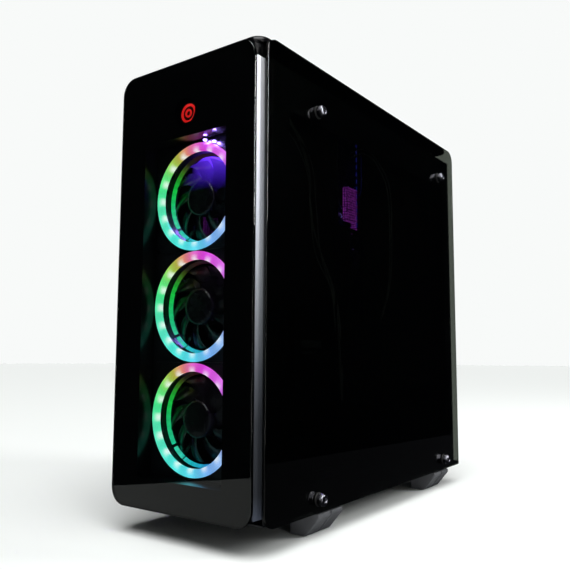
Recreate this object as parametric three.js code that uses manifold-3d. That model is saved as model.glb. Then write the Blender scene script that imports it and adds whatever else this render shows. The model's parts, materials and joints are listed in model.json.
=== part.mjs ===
// A mid-tower desktop computer: a steel chassis on four flared feet, tempered glass in front and on
// both sides, a lid on top, three ring-lit fans behind the front glass, and the computer inside it.
//
// Millimetres. X is to the right as seen from the front, Y goes from front to back, Z is up. Everything
// is drawn with Y = 0 on the outer face of the front glass and Z = 0 on the surface it stands on. The
// group is then moved back by half the depth, so the origin is the centre of the footprint.

import * as THREE from 'three';
import { mergeVertices } from 'three/addons/utils/BufferGeometryUtils.js';
import Module from 'manifold-3d';

const wasm = await Module();
wasm.setup();

// ---------------------------------------------------------------------------------------------------
// Driving dimensions
// ---------------------------------------------------------------------------------------------------

const height = 520; // floor to the top of the lid
const depth = 501.5; // front of the front glass to the rear of the side glass
const halfWidth = 103; // middle to the outer face of a side glass
const glassThick = 4;
const sheet = 1.5; // chassis sheet steel
const gap = 0.3; // clearance between pieces that touch

const glassLift = 30; // underside of the front glass above the floor
const frontCorner = 19;
const sideCorner = { front: 17, rearTop: 16, rearLow: 2.5 };
const windowHalf = 60; // the clear part of the front glass, to each side of the middle

const lidThick = 8;
const lidCorner = 17;
const bezelRear = 24.7;
const bezelWall = 3;

const fanSize = 120;
const fanDepth = 24.7;
const lowFanCentre = 124.3;
const hubRadius = 20;
const ringProud = 2.2;

const screwHead = { radius: 6.5, proud: 9.5, reach: 5.5 }; // reach: how far it goes into its post
const shankRadius = 2;
const postRadius = 7;

const footLength = 49;
const foot = { inner: 65, sole: 85, outer: 102.5, flare: 21.7, lip: 26 };

// Standard sizes
const board = { length: 244, height: 305, thick: 1.6, standoff: 6.5 };
const slotPitch = 20.32; // between expansion slots
const supplyBox = { width: 150, height: 87.2, length: 140.7 };
const hardDriveBox = { width: 101.6, length: 146, thick: 26 };
const solidStateBox = { length: 70, width: 100, thick: 7 };

// ---------------------------------------------------------------------------------------------------
// Sizes that follow from them
// ---------------------------------------------------------------------------------------------------

const glassInner = halfWidth - glassThick;
const frontGlass = { width: 2 * halfWidth - 9, height: height - glassLift - 9.5 };
const sideGlass = { front: 15.2, rear: depth, low: 27.2, high: height - 4 };

const chassisHalf = glassInner - 5; // outer face of the side frames
const chassisFront = bezelRear + gap;
const chassisRear = depth - 4.5;
const chassisLow = 28;
const chassisHigh = height - 21.5;
const frameBorder = { front: 37, rear: 22, low: 28, high: 44 }; // sheet left round each side opening
const frameInner = chassisHalf - sheet;
const floorTop = chassisLow + sheet;
const roofLow = chassisHigh - sheet;
const rearInner = chassisRear - sheet;

const lid = { halfWidth: halfWidth - 5.2, front: 11, rear: depth - 11.5 };
const lidLow = height - lidThick;
const bezelHalf = halfWidth - 8;
const bezelLow = glassLift + 2;
const bezelHigh = lidLow - gap;
const bezelFront = glassThick + gap;

const fanPitch = fanSize; // the fans stand on each other
const fanCentres = [0, 1, 2].map((i) => lowFanCentre + i * fanPitch);
const fanBore = fanSize / 2 - 7;
const fanHole = fanSize / 2 - 7.5; // screw holes from the fan's centre, across and up
const tipRadius = fanBore - 4;
const ringInner = fanBore - 2.5;
const ringOuter = fanSize / 2 - 0.5;
const wallFront = chassisFront + fanDepth + gap;
const wallRear = wallFront + sheet;
const viewWindow = { low: fanCentres[0] - 62.3, high: fanCentres[2] + 61.7 };

const screw = { front: 107, rear: depth - 60.5, low: 42, high: height - 58 }; // on the side glass
const footRows = [109, depth - 90.5]; // front end of each pair

const trayFace = chassisHalf - 14; // the side of the motherboard tray that faces the cable space
const trayInner = trayFace - sheet;
const supplyLow = floorTop + gap;
const supply = {
  left: trayFace - 4 - supplyBox.width,
  right: trayFace - 4,
  low: supplyLow,
  high: supplyLow + supplyBox.height,
  front: rearInner - gap - supplyBox.length,
};
const shroudTop = supply.high + sheet + 3;

const boardBack = trayInner - board.standoff;
const boardFace = boardBack - board.thick;
const boardLow = shroudTop + 44.5;
const boardHigh = boardLow + board.height;
const boardRear = rearInner - gap;
const boardFront = boardRear - board.length;
const socketCentre = { y: boardFront + 150, z: boardHigh - 79 };

// ---------------------------------------------------------------------------------------------------
// Solids: three.js geometry in, closed solids out, joined and cut where a piece needs it
// ---------------------------------------------------------------------------------------------------

/** Turns a closed three.js geometry into a solid with its faces pointing out. */
function solid(geometry) {
  const bare = geometry.clone();
  bare.deleteAttribute('normal');
  bare.deleteAttribute('uv');
  const merged = mergeVertices(bare, 1e-4);
  const place = merged.attributes.position.array;
  const corners = merged.index.array;
  const triangles = [];
  let volume = 0;
  const [a, b, c] = [new THREE.Vector3(), new THREE.Vector3(), new THREE.Vector3()];
  for (let i = 0; i < corners.length; i += 3) {
    const [p, q, r] = corners.slice(i, i + 3);
    if (p === q || q === r || r === p) continue; // the collapsed triangles at a lathe's poles
    triangles.push([p, q, r]);
    a.fromArray(place, 3 * p);
    b.fromArray(place, 3 * q);
    c.fromArray(place, 3 * r);
    volume += a.dot(b.cross(c));
  }
  const turned = volume < 0 ? triangles.map(([p, q, r]) => [p, r, q]) : triangles;
  return new wasm.Manifold(new wasm.Mesh({
    numProp: 3,
    vertProperties: new Float32Array(place),
    triVerts: new Uint32Array(turned.flat()),
  }));
}

const join = (first, ...others) => others.reduce((whole, piece) => whole.add(piece), first);
const cut = (first, ...others) => others.reduce((whole, piece) => whole.subtract(piece), first);

/** A block between two corners. */
function block(x0, x1, y0, y1, z0, z1) {
  const geometry = new THREE.BoxGeometry(x1 - x0, y1 - y0, z1 - z0);
  return solid(geometry.translate((x0 + x1) / 2, (y0 + y1) / 2, (z0 + z1) / 2));
}

/** A round bar along x, y or z, from one end to the other. */
function bar(axis, centre, radius, from, to, segments = 24) {
  const geometry = new THREE.CylinderGeometry(radius, radius, to - from, segments);
  if (axis === 'x') geometry.rotateZ(-Math.PI / 2);
  if (axis === 'z') geometry.rotateX(Math.PI / 2);
  const middle = new THREE.Vector3(...centre);
  middle[axis] = (from + to) / 2;
  return solid(geometry.translate(middle.x, middle.y, middle.z));
}

/** A flat outline drawn in (x, y), given its thickness along Z. */
function slabZ(outline, z0, z1, curveSegments = 3) {
  const geometry = new THREE.ExtrudeGeometry(outline, { depth: z1 - z0, bevelEnabled: false, curveSegments });
  return solid(geometry.translate(0, 0, z0));
}

/** A flat outline drawn in (x, z), given its thickness along Y. */
function slabY(outline, y0, y1, curveSegments = 3) {
  const geometry = new THREE.ExtrudeGeometry(outline, { depth: y1 - y0, bevelEnabled: false, curveSegments });
  return solid(geometry.rotateX(Math.PI / 2).translate(0, y1, 0));
}

/** A flat outline drawn in (y, z), given its thickness along X. */
function slabX(outline, x0, x1, curveSegments = 3) {
  const geometry = new THREE.ExtrudeGeometry(outline, { depth: x1 - x0, bevelEnabled: false, curveSegments });
  const turn = new THREE.Matrix4().makeBasis(
    new THREE.Vector3(0, 1, 0),
    new THREE.Vector3(0, 0, 1),
    new THREE.Vector3(1, 0, 0),
  );
  return solid(geometry.applyMatrix4(turn).translate(x0, 0, 0));
}

/** A straight-edged outline through the given corners. */
const polygon = (points) => new THREE.Shape(points.map(([u, v]) => new THREE.Vector2(u, v)));

/** A rectangle with round corners: radii run low-left, low-right, high-right, high-left. */
function rounded(u0, u1, v0, v1, radii) {
  const [ll, lr, hr, hl] = Array.isArray(radii) ? radii : [radii, radii, radii, radii];
  const outline = new THREE.Shape();
  outline.moveTo(u0 + ll, v0);
  outline.absarc(u1 - lr, v0 + lr, lr, -Math.PI / 2, 0);
  outline.absarc(u1 - hr, v1 - hr, hr, 0, Math.PI / 2);
  outline.absarc(u0 + hl, v1 - hl, hl, Math.PI / 2, Math.PI);
  outline.absarc(u0 + ll, v0 + ll, ll, Math.PI, 1.5 * Math.PI);
  return outline;
}

/** A closed (radius, along) profile turned about the Y axis. */
function turned(profile, segments) {
  const points = [...profile, profile[0]].map(([radius, along]) => new THREE.Vector2(radius, along));
  return new THREE.LatheGeometry(points, segments);
}

/** A tube of one radius along a smooth curve through the given points. */
function tube(points, radius, steps, sides) {
  const path = new THREE.CatmullRomCurve3(points.map((point) => new THREE.Vector3(...point)));
  const section = new THREE.Shape().absarc(0, 0, radius, 0, 2 * Math.PI);
  return solid(new THREE.ExtrudeGeometry(section, {
    steps,
    curveSegments: sides / 2, // an arc is drawn in twice as many pieces
    extrudePath: path,
    bevelEnabled: false,
  }));
}

// ---------------------------------------------------------------------------------------------------
// The group and its finishes
// ---------------------------------------------------------------------------------------------------

const finishes = {
  blackSteel: { color: 0x1b1c1e, roughness: 0.55, metalness: 0.6 },
  blackPlastic: { color: 0x141416, roughness: 0.4, metalness: 0 },
  feetPlastic: { color: 0x2c2d30, roughness: 0.45, metalness: 0.1 },
  tintedGlass: { color: 0x0b0d0c, roughness: 0.05, metalness: 0, transparent: true, opacity: 0.75 },
  frontGlass: { color: 0x08080a, roughness: 0.05, metalness: 0, transparent: true, opacity: 0.6 },
  satinAluminium: { color: 0xb9bcc4, roughness: 0.3, metalness: 1 },
  darkChrome: { color: 0x6e6e72, roughness: 0.15, metalness: 1 },
  lightDiffuser: { color: 0xe6f2ff, roughness: 0.4, metalness: 0, emissive: 0x33ccaa },
  fanBlade: { color: 0x1a1c20, roughness: 0.35, metalness: 0 },
  redLight: { color: 0xd8201c, roughness: 0.4, metalness: 0, emissive: 0xd81010 },
  circuitBoard: { color: 0x101411, roughness: 0.6, metalness: 0 },
  bareAluminium: { color: 0x9a9da1, roughness: 0.35, metalness: 1 },
  cableSleeve: { color: 0x0d0d0e, roughness: 0.8, metalness: 0 },
  memoryFin: { color: 0x8d2fb8, roughness: 0.4, metalness: 0.5 },
  blackMesh: { color: 0x101012, roughness: 0.7, metalness: 0.2 },
};

const computer = new THREE.Group();
computer.name = 'desktop_computer_tower';
const pieces = new THREE.Group();
pieces.position.y = -depth / 2;
computer.add(pieces);

/** Puts one solid into the group as a named mesh with a material of its own. */
function place(name, piece, finish) {
  const { vertProperties, triVerts } = piece.getMesh();
  const geometry = new THREE.BufferGeometry();
  geometry.setAttribute('position', new THREE.BufferAttribute(new Float32Array(vertProperties), 3));
  geometry.setIndex(new THREE.BufferAttribute(new Uint32Array(triVerts), 1));
  geometry.computeVertexNormals();
  const mesh = new THREE.Mesh(geometry, new THREE.MeshStandardMaterial(finishes[finish]));
  mesh.name = name;
  pieces.add(mesh);
}

const sides = [['right', 1], ['left', -1]];

/** Orders two x values that were written for the right side, for the given side. */
const span = (side, x0, x1) => (side > 0 ? [x0, x1] : [-x1, -x0]);

const screwPlaces = [
  ['front_low', screw.front, screw.low],
  ['front_high', screw.front, screw.high],
  ['rear_low', screw.rear, screw.low],
  ['rear_high', screw.rear, screw.high],
];

const frontFans = ['lower', 'middle', 'upper'].map((label, i) => [label, fanCentres[i]]);

// ---------------------------------------------------------------------------------------------------
// Glass and its screws
// ---------------------------------------------------------------------------------------------------

function makeFrontGlass() {
  const half = frontGlass.width / 2;
  const outline = rounded(-half, half, glassLift, glassLift + frontGlass.height, frontCorner);
  place('front_glass', slabY(outline, 0, glassThick, 7), 'frontGlass');
}

function makeSideGlass(label, side) {
  const { front, rearTop, rearLow } = sideCorner;
  const corners = [front, rearLow, rearTop, front];
  const outline = rounded(sideGlass.front, sideGlass.rear, sideGlass.low, sideGlass.high, corners);
  const [x0, x1] = span(side, glassInner, halfWidth);
  const plate = slabX(outline, x0, x1, 6);
  const holes = screwPlaces.map(([, y, z]) => bar('x', [0, y, z], shankRadius + 1, x0 - 1, x1 + 1, 12));
  place(`side_glass_${label}`, cut(plate, ...holes), 'tintedGlass');
}

/** One thumbscrew: a shank, a rubber washer against the glass and a round head with a drive recess. */
function makeThumbscrew(label, side, [corner, y, z]) {
  const { radius, proud } = screwHead;
  const [washer, chamfer, drive] = [radius + 1, 1.2, 2.6];
  const tip = -(glassThick + screwHead.reach);
  const geometry = turned([
    [0, tip],
    [shankRadius, tip],
    [shankRadius, gap],
    [washer, gap],
    [washer, 1.8],
    [radius, 2.2],
    [radius, proud - chamfer],
    [radius - chamfer, proud],
    [drive, proud],
    [0, proud - 2.2],
  ], 12);
  geometry.rotateZ(-side * Math.PI / 2);
  geometry.translate(side * halfWidth, y, z);
  place(`thumbscrew_${label}_${corner}`, solid(geometry), 'darkChrome');
}

// ---------------------------------------------------------------------------------------------------
// Front bezel, aluminium strips and badge
// ---------------------------------------------------------------------------------------------------

const badge = { z: viewWindow.high + 27.5, radius: 13, face: 9.8, thick: 1.4, well: 24 };

/** The moulding behind the front glass: a window round the fans, a well for the badge, hollow behind. */
function makeFrontBezel() {
  const [lowCorner, highCorner] = [14, 6];
  const corners = [lowCorner, lowCorner, highCorner, highCorner];
  const body = slabY(rounded(-bezelHalf, bezelHalf, bezelLow, bezelHigh, corners), bezelFront, bezelRear);
  const { low, high } = viewWindow;
  const openHalf = windowHalf + 1;
  const window = block(-openHalf, openHalf, 0, bezelRear + 1, low, high);
  const well = bar('y', [0, 0, badge.z], badge.well, 0, badge.face + badge.thick + gap, 32);
  const pocketFront = bezelFront + bezelWall;
  const pocketOuter = bezelHalf - bezelWall;
  const pocketInner = openHalf + bezelWall;
  const column = (side) => {
    const [x0, x1] = span(side, pocketInner, pocketOuter);
    return block(x0, x1, pocketFront, bezelRear + 1, bezelLow + lowCorner, bezelHigh - lowCorner);
  };
  const badgeBack = badge.face + badge.thick + gap + bezelWall;
  const crown = block(-openHalf, openHalf, badgeBack, bezelRear + 1, high + bezelWall, bezelHigh - bezelWall);
  const chin = block(-openHalf, openHalf, pocketFront, bezelRear + 1, bezelLow + bezelWall, low - bezelWall);
  const [ventPitch, ventHalf] = [17, 6];
  const vents = [-3, -2, -1, 0, 1, 2, 3].map((i) => {
    const x = i * ventPitch;
    const [low0, low1] = [bezelLow - 1, bezelLow + bezelWall + 1];
    return block(x - ventHalf, x + ventHalf, pocketFront + 3, bezelRear - 4, low0, low1);
  });
  place('front_bezel', cut(body, window, well, column(1), column(-1), crown, chin, ...vents), 'blackPlastic');
}

/** The satin strip down each front corner, flat with a raised bead along its rear edge. */
function makeCornerStrip(label, side) {
  const [back, face, bead] = [bezelHalf + gap, bezelHalf + 2, 0.5];
  const [front, rear] = [bezelFront + 1.2, sideGlass.front + 4.5];
  const [low, high] = [glassLift + 8, glassLift + frontGlass.height - 17.5];
  const outline = polygon([
    [side * back, front],
    [side * (face - 0.6), front],
    [side * face, front + 0.8],
    [side * face, rear - 3],
    [side * (face + bead), rear - 2.45],
    [side * (face + bead), rear - 1.45],
    [side * face, rear - 1],
    [side * (face - 0.4), rear],
    [side * back, rear],
  ]);
  place(`corner_strip_${label}`, slabZ(outline, low, high), 'satinAluminium');
}

/** A plain ring standing proud of a disc, at the bottom of its well in the bezel. */
function makeBadge() {
  const { radius, face, thick } = badge;
  const [rim, recess] = [4, 0.6];
  const geometry = turned([
    [0, face + recess],
    [radius - rim, face + recess],
    [radius - rim, face],
    [radius, face],
    [radius, face + thick],
    [0, face + thick],
  ], 28);
  place('front_badge', solid(geometry.translate(0, 0, badge.z)), 'redLight');
}

// ---------------------------------------------------------------------------------------------------
// Fans
// ---------------------------------------------------------------------------------------------------

/** A square fan frame about the Y axis: round bore, four screw holes, struts to a motor plate. */
function fanFrame([x, z], front, bore, deep, strutsAtRear = true) {
  const half = fanSize / 2;
  const rear = front + deep;
  const body = slabY(rounded(x - half, x + half, z - half, z + half, 4), front, rear, 2);
  const duct = bar('y', [x, 0, z], bore, front - 1, rear + 1, 40);
  const holes = [-fanHole, fanHole].flatMap((u) => [-fanHole, fanHole].map((v) => (
    bar('y', [x + u, 0, z + v], 2.2, front - 1, rear + 1, 8)
  )));
  const strut = { thick: 3, wide: 3.4, long: bore - hubRadius + 2 };
  const strutFront = strutsAtRear ? rear - strut.thick - 0.5 : front + 0.5;
  const motor = bar('y', [x, 0, z], hubRadius, strutFront, strutFront + strut.thick, 12);
  const struts = [0, 1, 2, 3].map((i) => {
    const angle = Math.PI / 4 + i * Math.PI / 2;
    const rod = new THREE.BoxGeometry(strut.long, strut.thick, strut.wide);
    rod.translate((bore + hubRadius) / 2, strutFront + strut.thick / 2, 0);
    rod.rotateY(-angle);
    return solid(rod.translate(x, 0, z));
  });
  return join(cut(body, duct, ...holes), motor, ...struts);
}

/** A rotor about the Y axis at the origin: a domed hub and swept, pitched blades. */
function rotor(tip, hub, width, blades) {
  const half = width / 2;
  const hubOutline = [[0, -half], [hub - 2, -half], [hub, 2 - half], [hub, half], [0, half]];
  const hubShape = solid(turned(hubOutline, 16));
  const thick = 1.6;
  const middle = (hub + tip) / 2;
  const pitch = Math.atan2(width - 4, 26);
  const blade = (i) => {
    const outline = new THREE.Shape();
    outline.moveTo(hub - 4, -5);
    outline.quadraticCurveTo(middle, -14, tip - 1, -3);
    outline.quadraticCurveTo(tip, 5, tip - 3, 13);
    outline.quadraticCurveTo(middle, 6, hub - 4, 5);
    const options = { depth: thick, bevelEnabled: false, curveSegments: 2 };
    const geometry = new THREE.ExtrudeGeometry(outline, options);
    geometry.translate(0, 0, -thick / 2).rotateX(Math.PI / 2 + pitch);
    return solid(geometry.rotateY(i * 2 * Math.PI / blades));
  };
  const reach = bar('y', [0, 0, 0], tip, -half, half, 28);
  const fins = Array.from({ length: blades }, (_, i) => blade(i));
  return join(hubShape, ...fins).intersect(reach);
}

function makeFrontFan([label, z]) {
  place(`fan_frame_${label}`, fanFrame([0, z], chassisFront, fanBore, fanDepth), 'blackPlastic');
  const wheel = rotor(tipRadius, hubRadius, 14, 7).translate(0, chassisFront + 11, z);
  place(`fan_rotor_${label}`, wheel, 'fanBlade');
  const face = chassisFront - ringProud;
  const seat = chassisFront - gap;
  const lining = chassisFront + 7;
  const geometry = turned([
    [ringInner, face],
    [ringOuter, face],
    [ringOuter, seat],
    [fanBore - gap, seat],
    [fanBore - gap, lining],
    [ringInner, lining],
  ], 40);
  place(`fan_light_ring_${label}`, solid(geometry.translate(0, 0, z)), 'lightDiffuser');
}

// ---------------------------------------------------------------------------------------------------
// Chassis
// ---------------------------------------------------------------------------------------------------

const bottomFilter = { half: 62, front: supply.front - 14.5, rear: chassisRear - 1, thick: 2.1 };

/** The floor: a sheet with slots under the power supply and two rails that hold the bottom filter. */
function makeChassisFloor() {
  const plate = block(-chassisHalf, chassisHalf, chassisFront, chassisRear, chassisLow, floorTop);
  const [slotHalf, slotWide, slotStep] = [50, 5, 10];
  const slots = Array.from({ length: 11 }, (_, i) => {
    const y = supply.front + 12 + i * slotStep;
    return block(-slotHalf, slotHalf, y, y + slotWide, chassisLow - 1, floorTop + 1);
  });
  const { half, front, rear, thick } = bottomFilter;
  const railFront = front - 5;
  const lipTop = chassisLow - thick - 2 * gap;
  const rail = (side) => {
    const [x0, x1] = span(side, half + gap, half + 2);
    const [x2, x3] = span(side, half - 2, half + 2);
    const web = block(x0, x1, railFront, rear, lipTop - 0.8, chassisLow + 0.5);
    return join(web, block(x2, x3, railFront, rear, lipTop - 1, lipTop));
  };
  place('chassis_floor', cut(join(plate, rail(1), rail(-1)), ...slots), 'blackSteel');
}

const roofFan = { x: -12, radius: 57, rows: [wallRear + 138.5, wallRear + 278.5] };

/** The roof: a sheet with two fan openings, each crossed by three bars. */
function makeChassisRoof() {
  const plate = block(-chassisHalf, chassisHalf, chassisFront, chassisRear, roofLow, chassisHigh);
  const { x, radius, rows } = roofFan;
  const openings = rows.map((y) => bar('z', [x, y, 0], radius, roofLow - 1, chassisHigh + 1, 32));
  const reach = radius + 3;
  const bars = rows.flatMap((y) => [x - 30, x, x + 30].map((across) => (
    block(across - 2, across + 2, y - reach, y + reach, roofLow, chassisHigh)
  )));
  place('chassis_roof', join(cut(plate, ...openings), ...bars), 'blackSteel');
}

/** The sheet round a side opening, with the posts that the glass and its thumbscrews stand on. */
function makeSideFrame(label, side) {
  const [y0, y1, z0, z1] = [chassisFront, rearInner - gap, floorTop + gap, roofLow - gap];
  const { front, rear, low, high } = frameBorder;
  const [outerCorner, innerCorner] = [2, 10];
  const outline = rounded(y0, y1, z0, z1, outerCorner);
  outline.holes.push(rounded(y0 + front, y1 - rear, z0 + low, z1 - high, innerCorner));
  const [x0, x1] = span(side, frameInner + gap, chassisHalf);
  const plate = slabX(outline, x0, x1);
  const [x2, x3] = span(side, frameInner + gap, glassInner - gap);
  const posts = screwPlaces.map(([, y, z]) => bar('x', [0, y, z], postRadius, x2, x3, 16));
  const holes = screwPlaces.map(([, y, z]) => bar('x', [0, y, z], shankRadius + gap, x2 - 1, x3 + 1, 8));
  place(`side_frame_${label}`, cut(join(plate, ...posts), ...holes), 'blackSteel');
}

const ductRadius = fanSize / 2 - 4; // openings in the sheets behind the fans

/** The sheet that the front fans bolt to, open behind each fan. */
function makeFrontWall() {
  const half = frameInner - gap;
  const plate = block(-half, half, wallFront, wallRear, floorTop + gap, roofLow - gap);
  const openings = fanCentres.map((z) => bar('y', [0, 0, z], ductRadius, wallFront - 1, wallRear + 1, 36));
  place('front_fan_wall', cut(plate, ...openings), 'blackSteel');
}

const rearFan = { x: -31.5, z: boardHigh - 53, front: boardRear - 25 };
const slots = { top: boardHigh - 181, count: 7, left: -45, right: 60, cards: [0, 1] };
const ports = { low: boardHigh - 168, high: boardHigh - 9, inner: 28 };

/** The back: openings for the ports, the rear fan, the expansion slots and the power supply. */
function makeRearPanel() {
  const plate = block(-chassisHalf, chassisHalf, rearInner, chassisRear, floorTop + gap, roofLow - gap);
  const through = (x0, x1, z0, z1) => block(x0, x1, rearInner - 1, chassisRear + 1, z0, z1);
  const { x, z } = rearFan;
  const around = (radius) => bar('y', [x, 0, z], radius, rearInner - 1, chassisRear + 1, 32);
  const [reach, barHalf] = [ductRadius + 1, 2];
  const guard = [
    cut(bar('y', [x, 0, z], 39, rearInner, chassisRear, 24), around(36)),
    bar('y', [x, 0, z], 18, rearInner, chassisRear, 16),
    block(x - reach, x + reach, rearInner, chassisRear, z - barHalf, z + barHalf),
    block(x - barHalf, x + barHalf, rearInner, chassisRear, z - reach, z + reach),
  ];
  const { left, right } = slots;
  const [coverVent, coverStep] = [28, 35];
  const slotCuts = Array.from({ length: slots.count }, (_, i) => {
    const middle = slots.top - i * slotPitch;
    if (slots.cards.includes(i)) return [through(left, right, middle - 7, middle + 7)];
    return [0, 1, 2].map((step) => {
      const from = left + 5 + step * coverStep;
      return through(from, from + coverVent, middle - 3, middle + 3);
    });
  }).flat();
  const border = 4;
  const openings = [
    through(ports.inner, boardBack - gap, ports.low, ports.high),
    through(supply.left + border, supply.right - border, supply.low + border, supply.high - border),
    ...slotCuts,
  ];
  const sheetWithGuard = join(cut(plate, around(ductRadius)), ...guard);
  place('rear_panel', cut(sheetWithGuard, ...openings), 'blackSteel');
}

const cableOpening = {
  front: boardFront - 67, rear: boardFront - 15, low: boardHigh - 121, high: boardHigh + 3,
};
const cableSlot = {
  front: boardFront - 39, rear: boardFront - 5, low: boardHigh - 226, high: boardHigh - 126,
};
const lowSlot = { front: boardFront + 19, rear: boardRear - 25, low: shroudTop + 6.5, high: boardLow - 16 };

/** The tray the motherboard stands on, with cable openings, a processor opening and nine standoffs. */
function makeMotherboardTray() {
  const outline = rounded(wallRear + gap, rearInner - gap, shroudTop + gap, roofLow - gap, 2);
  [cableOpening, cableSlot, lowSlot].forEach(({ front, rear, low, high }) => {
    outline.holes.push(rounded(front, rear, low, high, 5));
  });
  const { y, z } = socketCentre;
  const reach = 55; // half of the opening behind the processor
  outline.holes.push(rounded(y - reach, y + reach, z - reach, z + reach, 6));
  const plate = slabX(outline, trayInner, trayFace);
  const rows = [boardLow + 10, boardLow + 120, boardHigh - 10];
  const columns = [boardFront + 12, boardFront + 70, rearInner - 14];
  const standoffs = rows.flatMap((row) => columns.map((column) => (
    bar('x', [0, column, row], 3, boardBack + gap, trayFace - sheet / 2, 6)
  )));
  place('motherboard_tray', join(plate, ...standoffs), 'blackSteel');
}

/** The cover over the power supply: a top sheet and a skirt on the window side, with vents above. */
function makeSupplyShroud() {
  const skirt = frameInner - gap;
  const [y0, y1] = [wallRear + gap, rearInner - gap];
  const top = block(-skirt, trayInner - 16.5, y0, y1, shroudTop - sheet, shroudTop);
  const side = block(-skirt, sheet - skirt, y0, y1, floorTop + gap, shroudTop);
  const [ventWide, ventStep] = [6, 14];
  const vents = Array.from({ length: 8 }, (_, i) => {
    const y = supply.front - 64.5 + i * ventStep;
    return block(-60, 10, y, y + ventWide, shroudTop - 3, shroudTop + 1);
  });
  const view = { front: supply.front - 24.5, rear: chassisRear - 37, low: supply.low + 30.2 };
  const viewOutline = rounded(view.front, view.rear, view.low, view.low + 40, 8);
  const viewHole = slabX(viewOutline, -skirt - 1, 3 - skirt);
  place('supply_shroud', cut(join(top, side), ...vents, viewHole), 'blackSteel');
}

/** A flared foot: upright inside, slanting out to a lip under the glass, with a groove at mid-length. */
function makeFoot(row, front, label, side) {
  const { inner, sole, outer, flare, lip } = foot;
  const top = chassisLow - gap;
  const corners = [
    [inner, 0],
    [sole, 0],
    [outer, flare],
    [outer, lip],
    [chassisHalf, lip],
    [chassisHalf, top],
    [inner, top],
  ];
  const [grooveDeep, grooveHalf] = [2, 1.3];
  const grooveTop = flare - 1;
  const groove = [
    [sole - grooveDeep, -1],
    [sole + 1, -1],
    [outer + 3, grooveTop],
    [outer - grooveDeep - 0.4, grooveTop],
  ];
  const middle = front + footLength / 2;
  const mirrored = (points) => polygon(points.map(([x, z]) => [side * x, z]));
  const body = slabY(mirrored(corners), front, front + footLength);
  const notch = slabY(mirrored(groove), middle - grooveHalf, middle + grooveHalf);
  place(`foot_${row}_${label}`, cut(body, notch), 'feetPlastic');
}

/** The filter that slides out backwards from under the power supply: a frame with rows of slots. */
function makeBottomFilter() {
  const { front, rear, thick } = bottomFilter;
  const half = bottomFilter.half - gap;
  const top = chassisLow - gap;
  const plate = block(-half, half, front, rear, top - thick, top);
  const [rim, slotWide, slotStep] = [7, 6, 11];
  const slotCuts = Array.from({ length: 12 }, (_, i) => {
    const y = front + 12 + i * slotStep;
    return block(rim - half, half - rim, y, y + slotWide, top - thick - 1, top + 1);
  });
  place('bottom_filter', cut(plate, ...slotCuts), 'blackMesh');
}

// ---------------------------------------------------------------------------------------------------
// Lid, its filter, buttons and ports
// ---------------------------------------------------------------------------------------------------

const filterOpening = { half: lid.halfWidth - 34.8, front: lid.front + 89, rear: lid.rear - 50, step: 4 };
const portRow = lid.front + 37; // the line of the buttons and ports
const portBlock = { x0: -66, x1: 18, half: 9, flat: [-51, -27], round: [-8, 8] };
const filterSeat = lidLow + 3;
const power = { x: 44, radius: 9, travel: 1.5 };
const reset = { x: 70, radius: 4.5, travel: 1.2 };

/** The lid: a plate with round corners on an apron and two ribs, open for the filter and the ports. */
function makeLid() {
  const plateOutline = rounded(-lid.halfWidth, lid.halfWidth, lid.front, lid.rear, lidCorner);
  const plate = slabZ(plateOutline, lidLow, height, 6);
  const seat = chassisHigh + gap;
  const [apronHalf, wall] = [lid.halfWidth - 9.8, 3];
  const apron = block(-apronHalf, apronHalf, chassisFront, chassisFront + wall, seat, lidLow + 1);
  const rib = (side) => {
    const [x0, x1] = span(side, apronHalf - 5 - wall, apronHalf - 5);
    return block(x0, x1, chassisFront + 1, lid.rear - 65, seat, lidLow + 1);
  };
  const { half, front, rear, step } = filterOpening;
  const upper = slabZ(rounded(-half, half, front, rear, 6), filterSeat, height + 1);
  const ledge = rounded(step - half, half - step, front + step, rear - step, 4);
  const lower = slabZ(ledge, lidLow - 1, filterSeat + 1);
  const [x0, x1] = [portBlock.x0 - gap, portBlock.x1 + gap];
  const portHalf = portBlock.half + gap;
  const portHole = block(x0, x1, portRow - portHalf, portRow + portHalf, lidLow - 1, height + 1);
  const buttonHoles = [power, reset].map(({ x, radius }) => (
    bar('z', [x, portRow, 0], radius + 0.4, lidLow - 1, height + 1, 32)
  ));
  const whole = join(plate, apron, rib(1), rib(-1));
  place('lid', cut(whole, upper, lower, portHole, ...buttonHoles), 'blackPlastic');
}

/** The filter that lies in the lid's opening: a thin frame with two fields of slots. */
function makeLidFilter() {
  const { half, front, rear } = filterOpening;
  const outline = rounded(gap - half, half - gap, front + gap, rear - gap, 5.5);
  const plate = slabZ(outline, filterSeat + gap, height - 0.6);
  const middle = (front + rear) / 2;
  const [rim, rows, rib] = [9, 9, 6];
  const pitch = (rear - front - 34) / (2 * rows);
  const slotCuts = [-1, 1].flatMap((way) => Array.from({ length: rows }, (_, i) => {
    const near = middle + way * (8 + i * pitch);
    const far = near + way * (pitch - rib);
    return block(rim - half, half - rim, Math.min(near, far), Math.max(near, far), lidLow, height + 1);
  }));
  place('lid_filter', cut(plate, ...slotCuts), 'blackMesh');
}

/** A push button that stands in the lid, with a collar under it. */
function makeButton(name, { x, radius, travel }) {
  const [collar, collarTop, top, chamfer] = [radius + 1.4, lidLow - gap, height - 0.4, 0.6];
  const low = collarTop - travel - 2;
  const geometry = turned([
    [0, low],
    [collar, low],
    [collar, collarTop],
    [radius, collarTop],
    [radius, top - chamfer],
    [radius - chamfer, top],
    [0, top],
  ], 20);
  place(name, solid(geometry.rotateX(Math.PI / 2).translate(x, portRow, 0)), 'blackPlastic');
}

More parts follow.
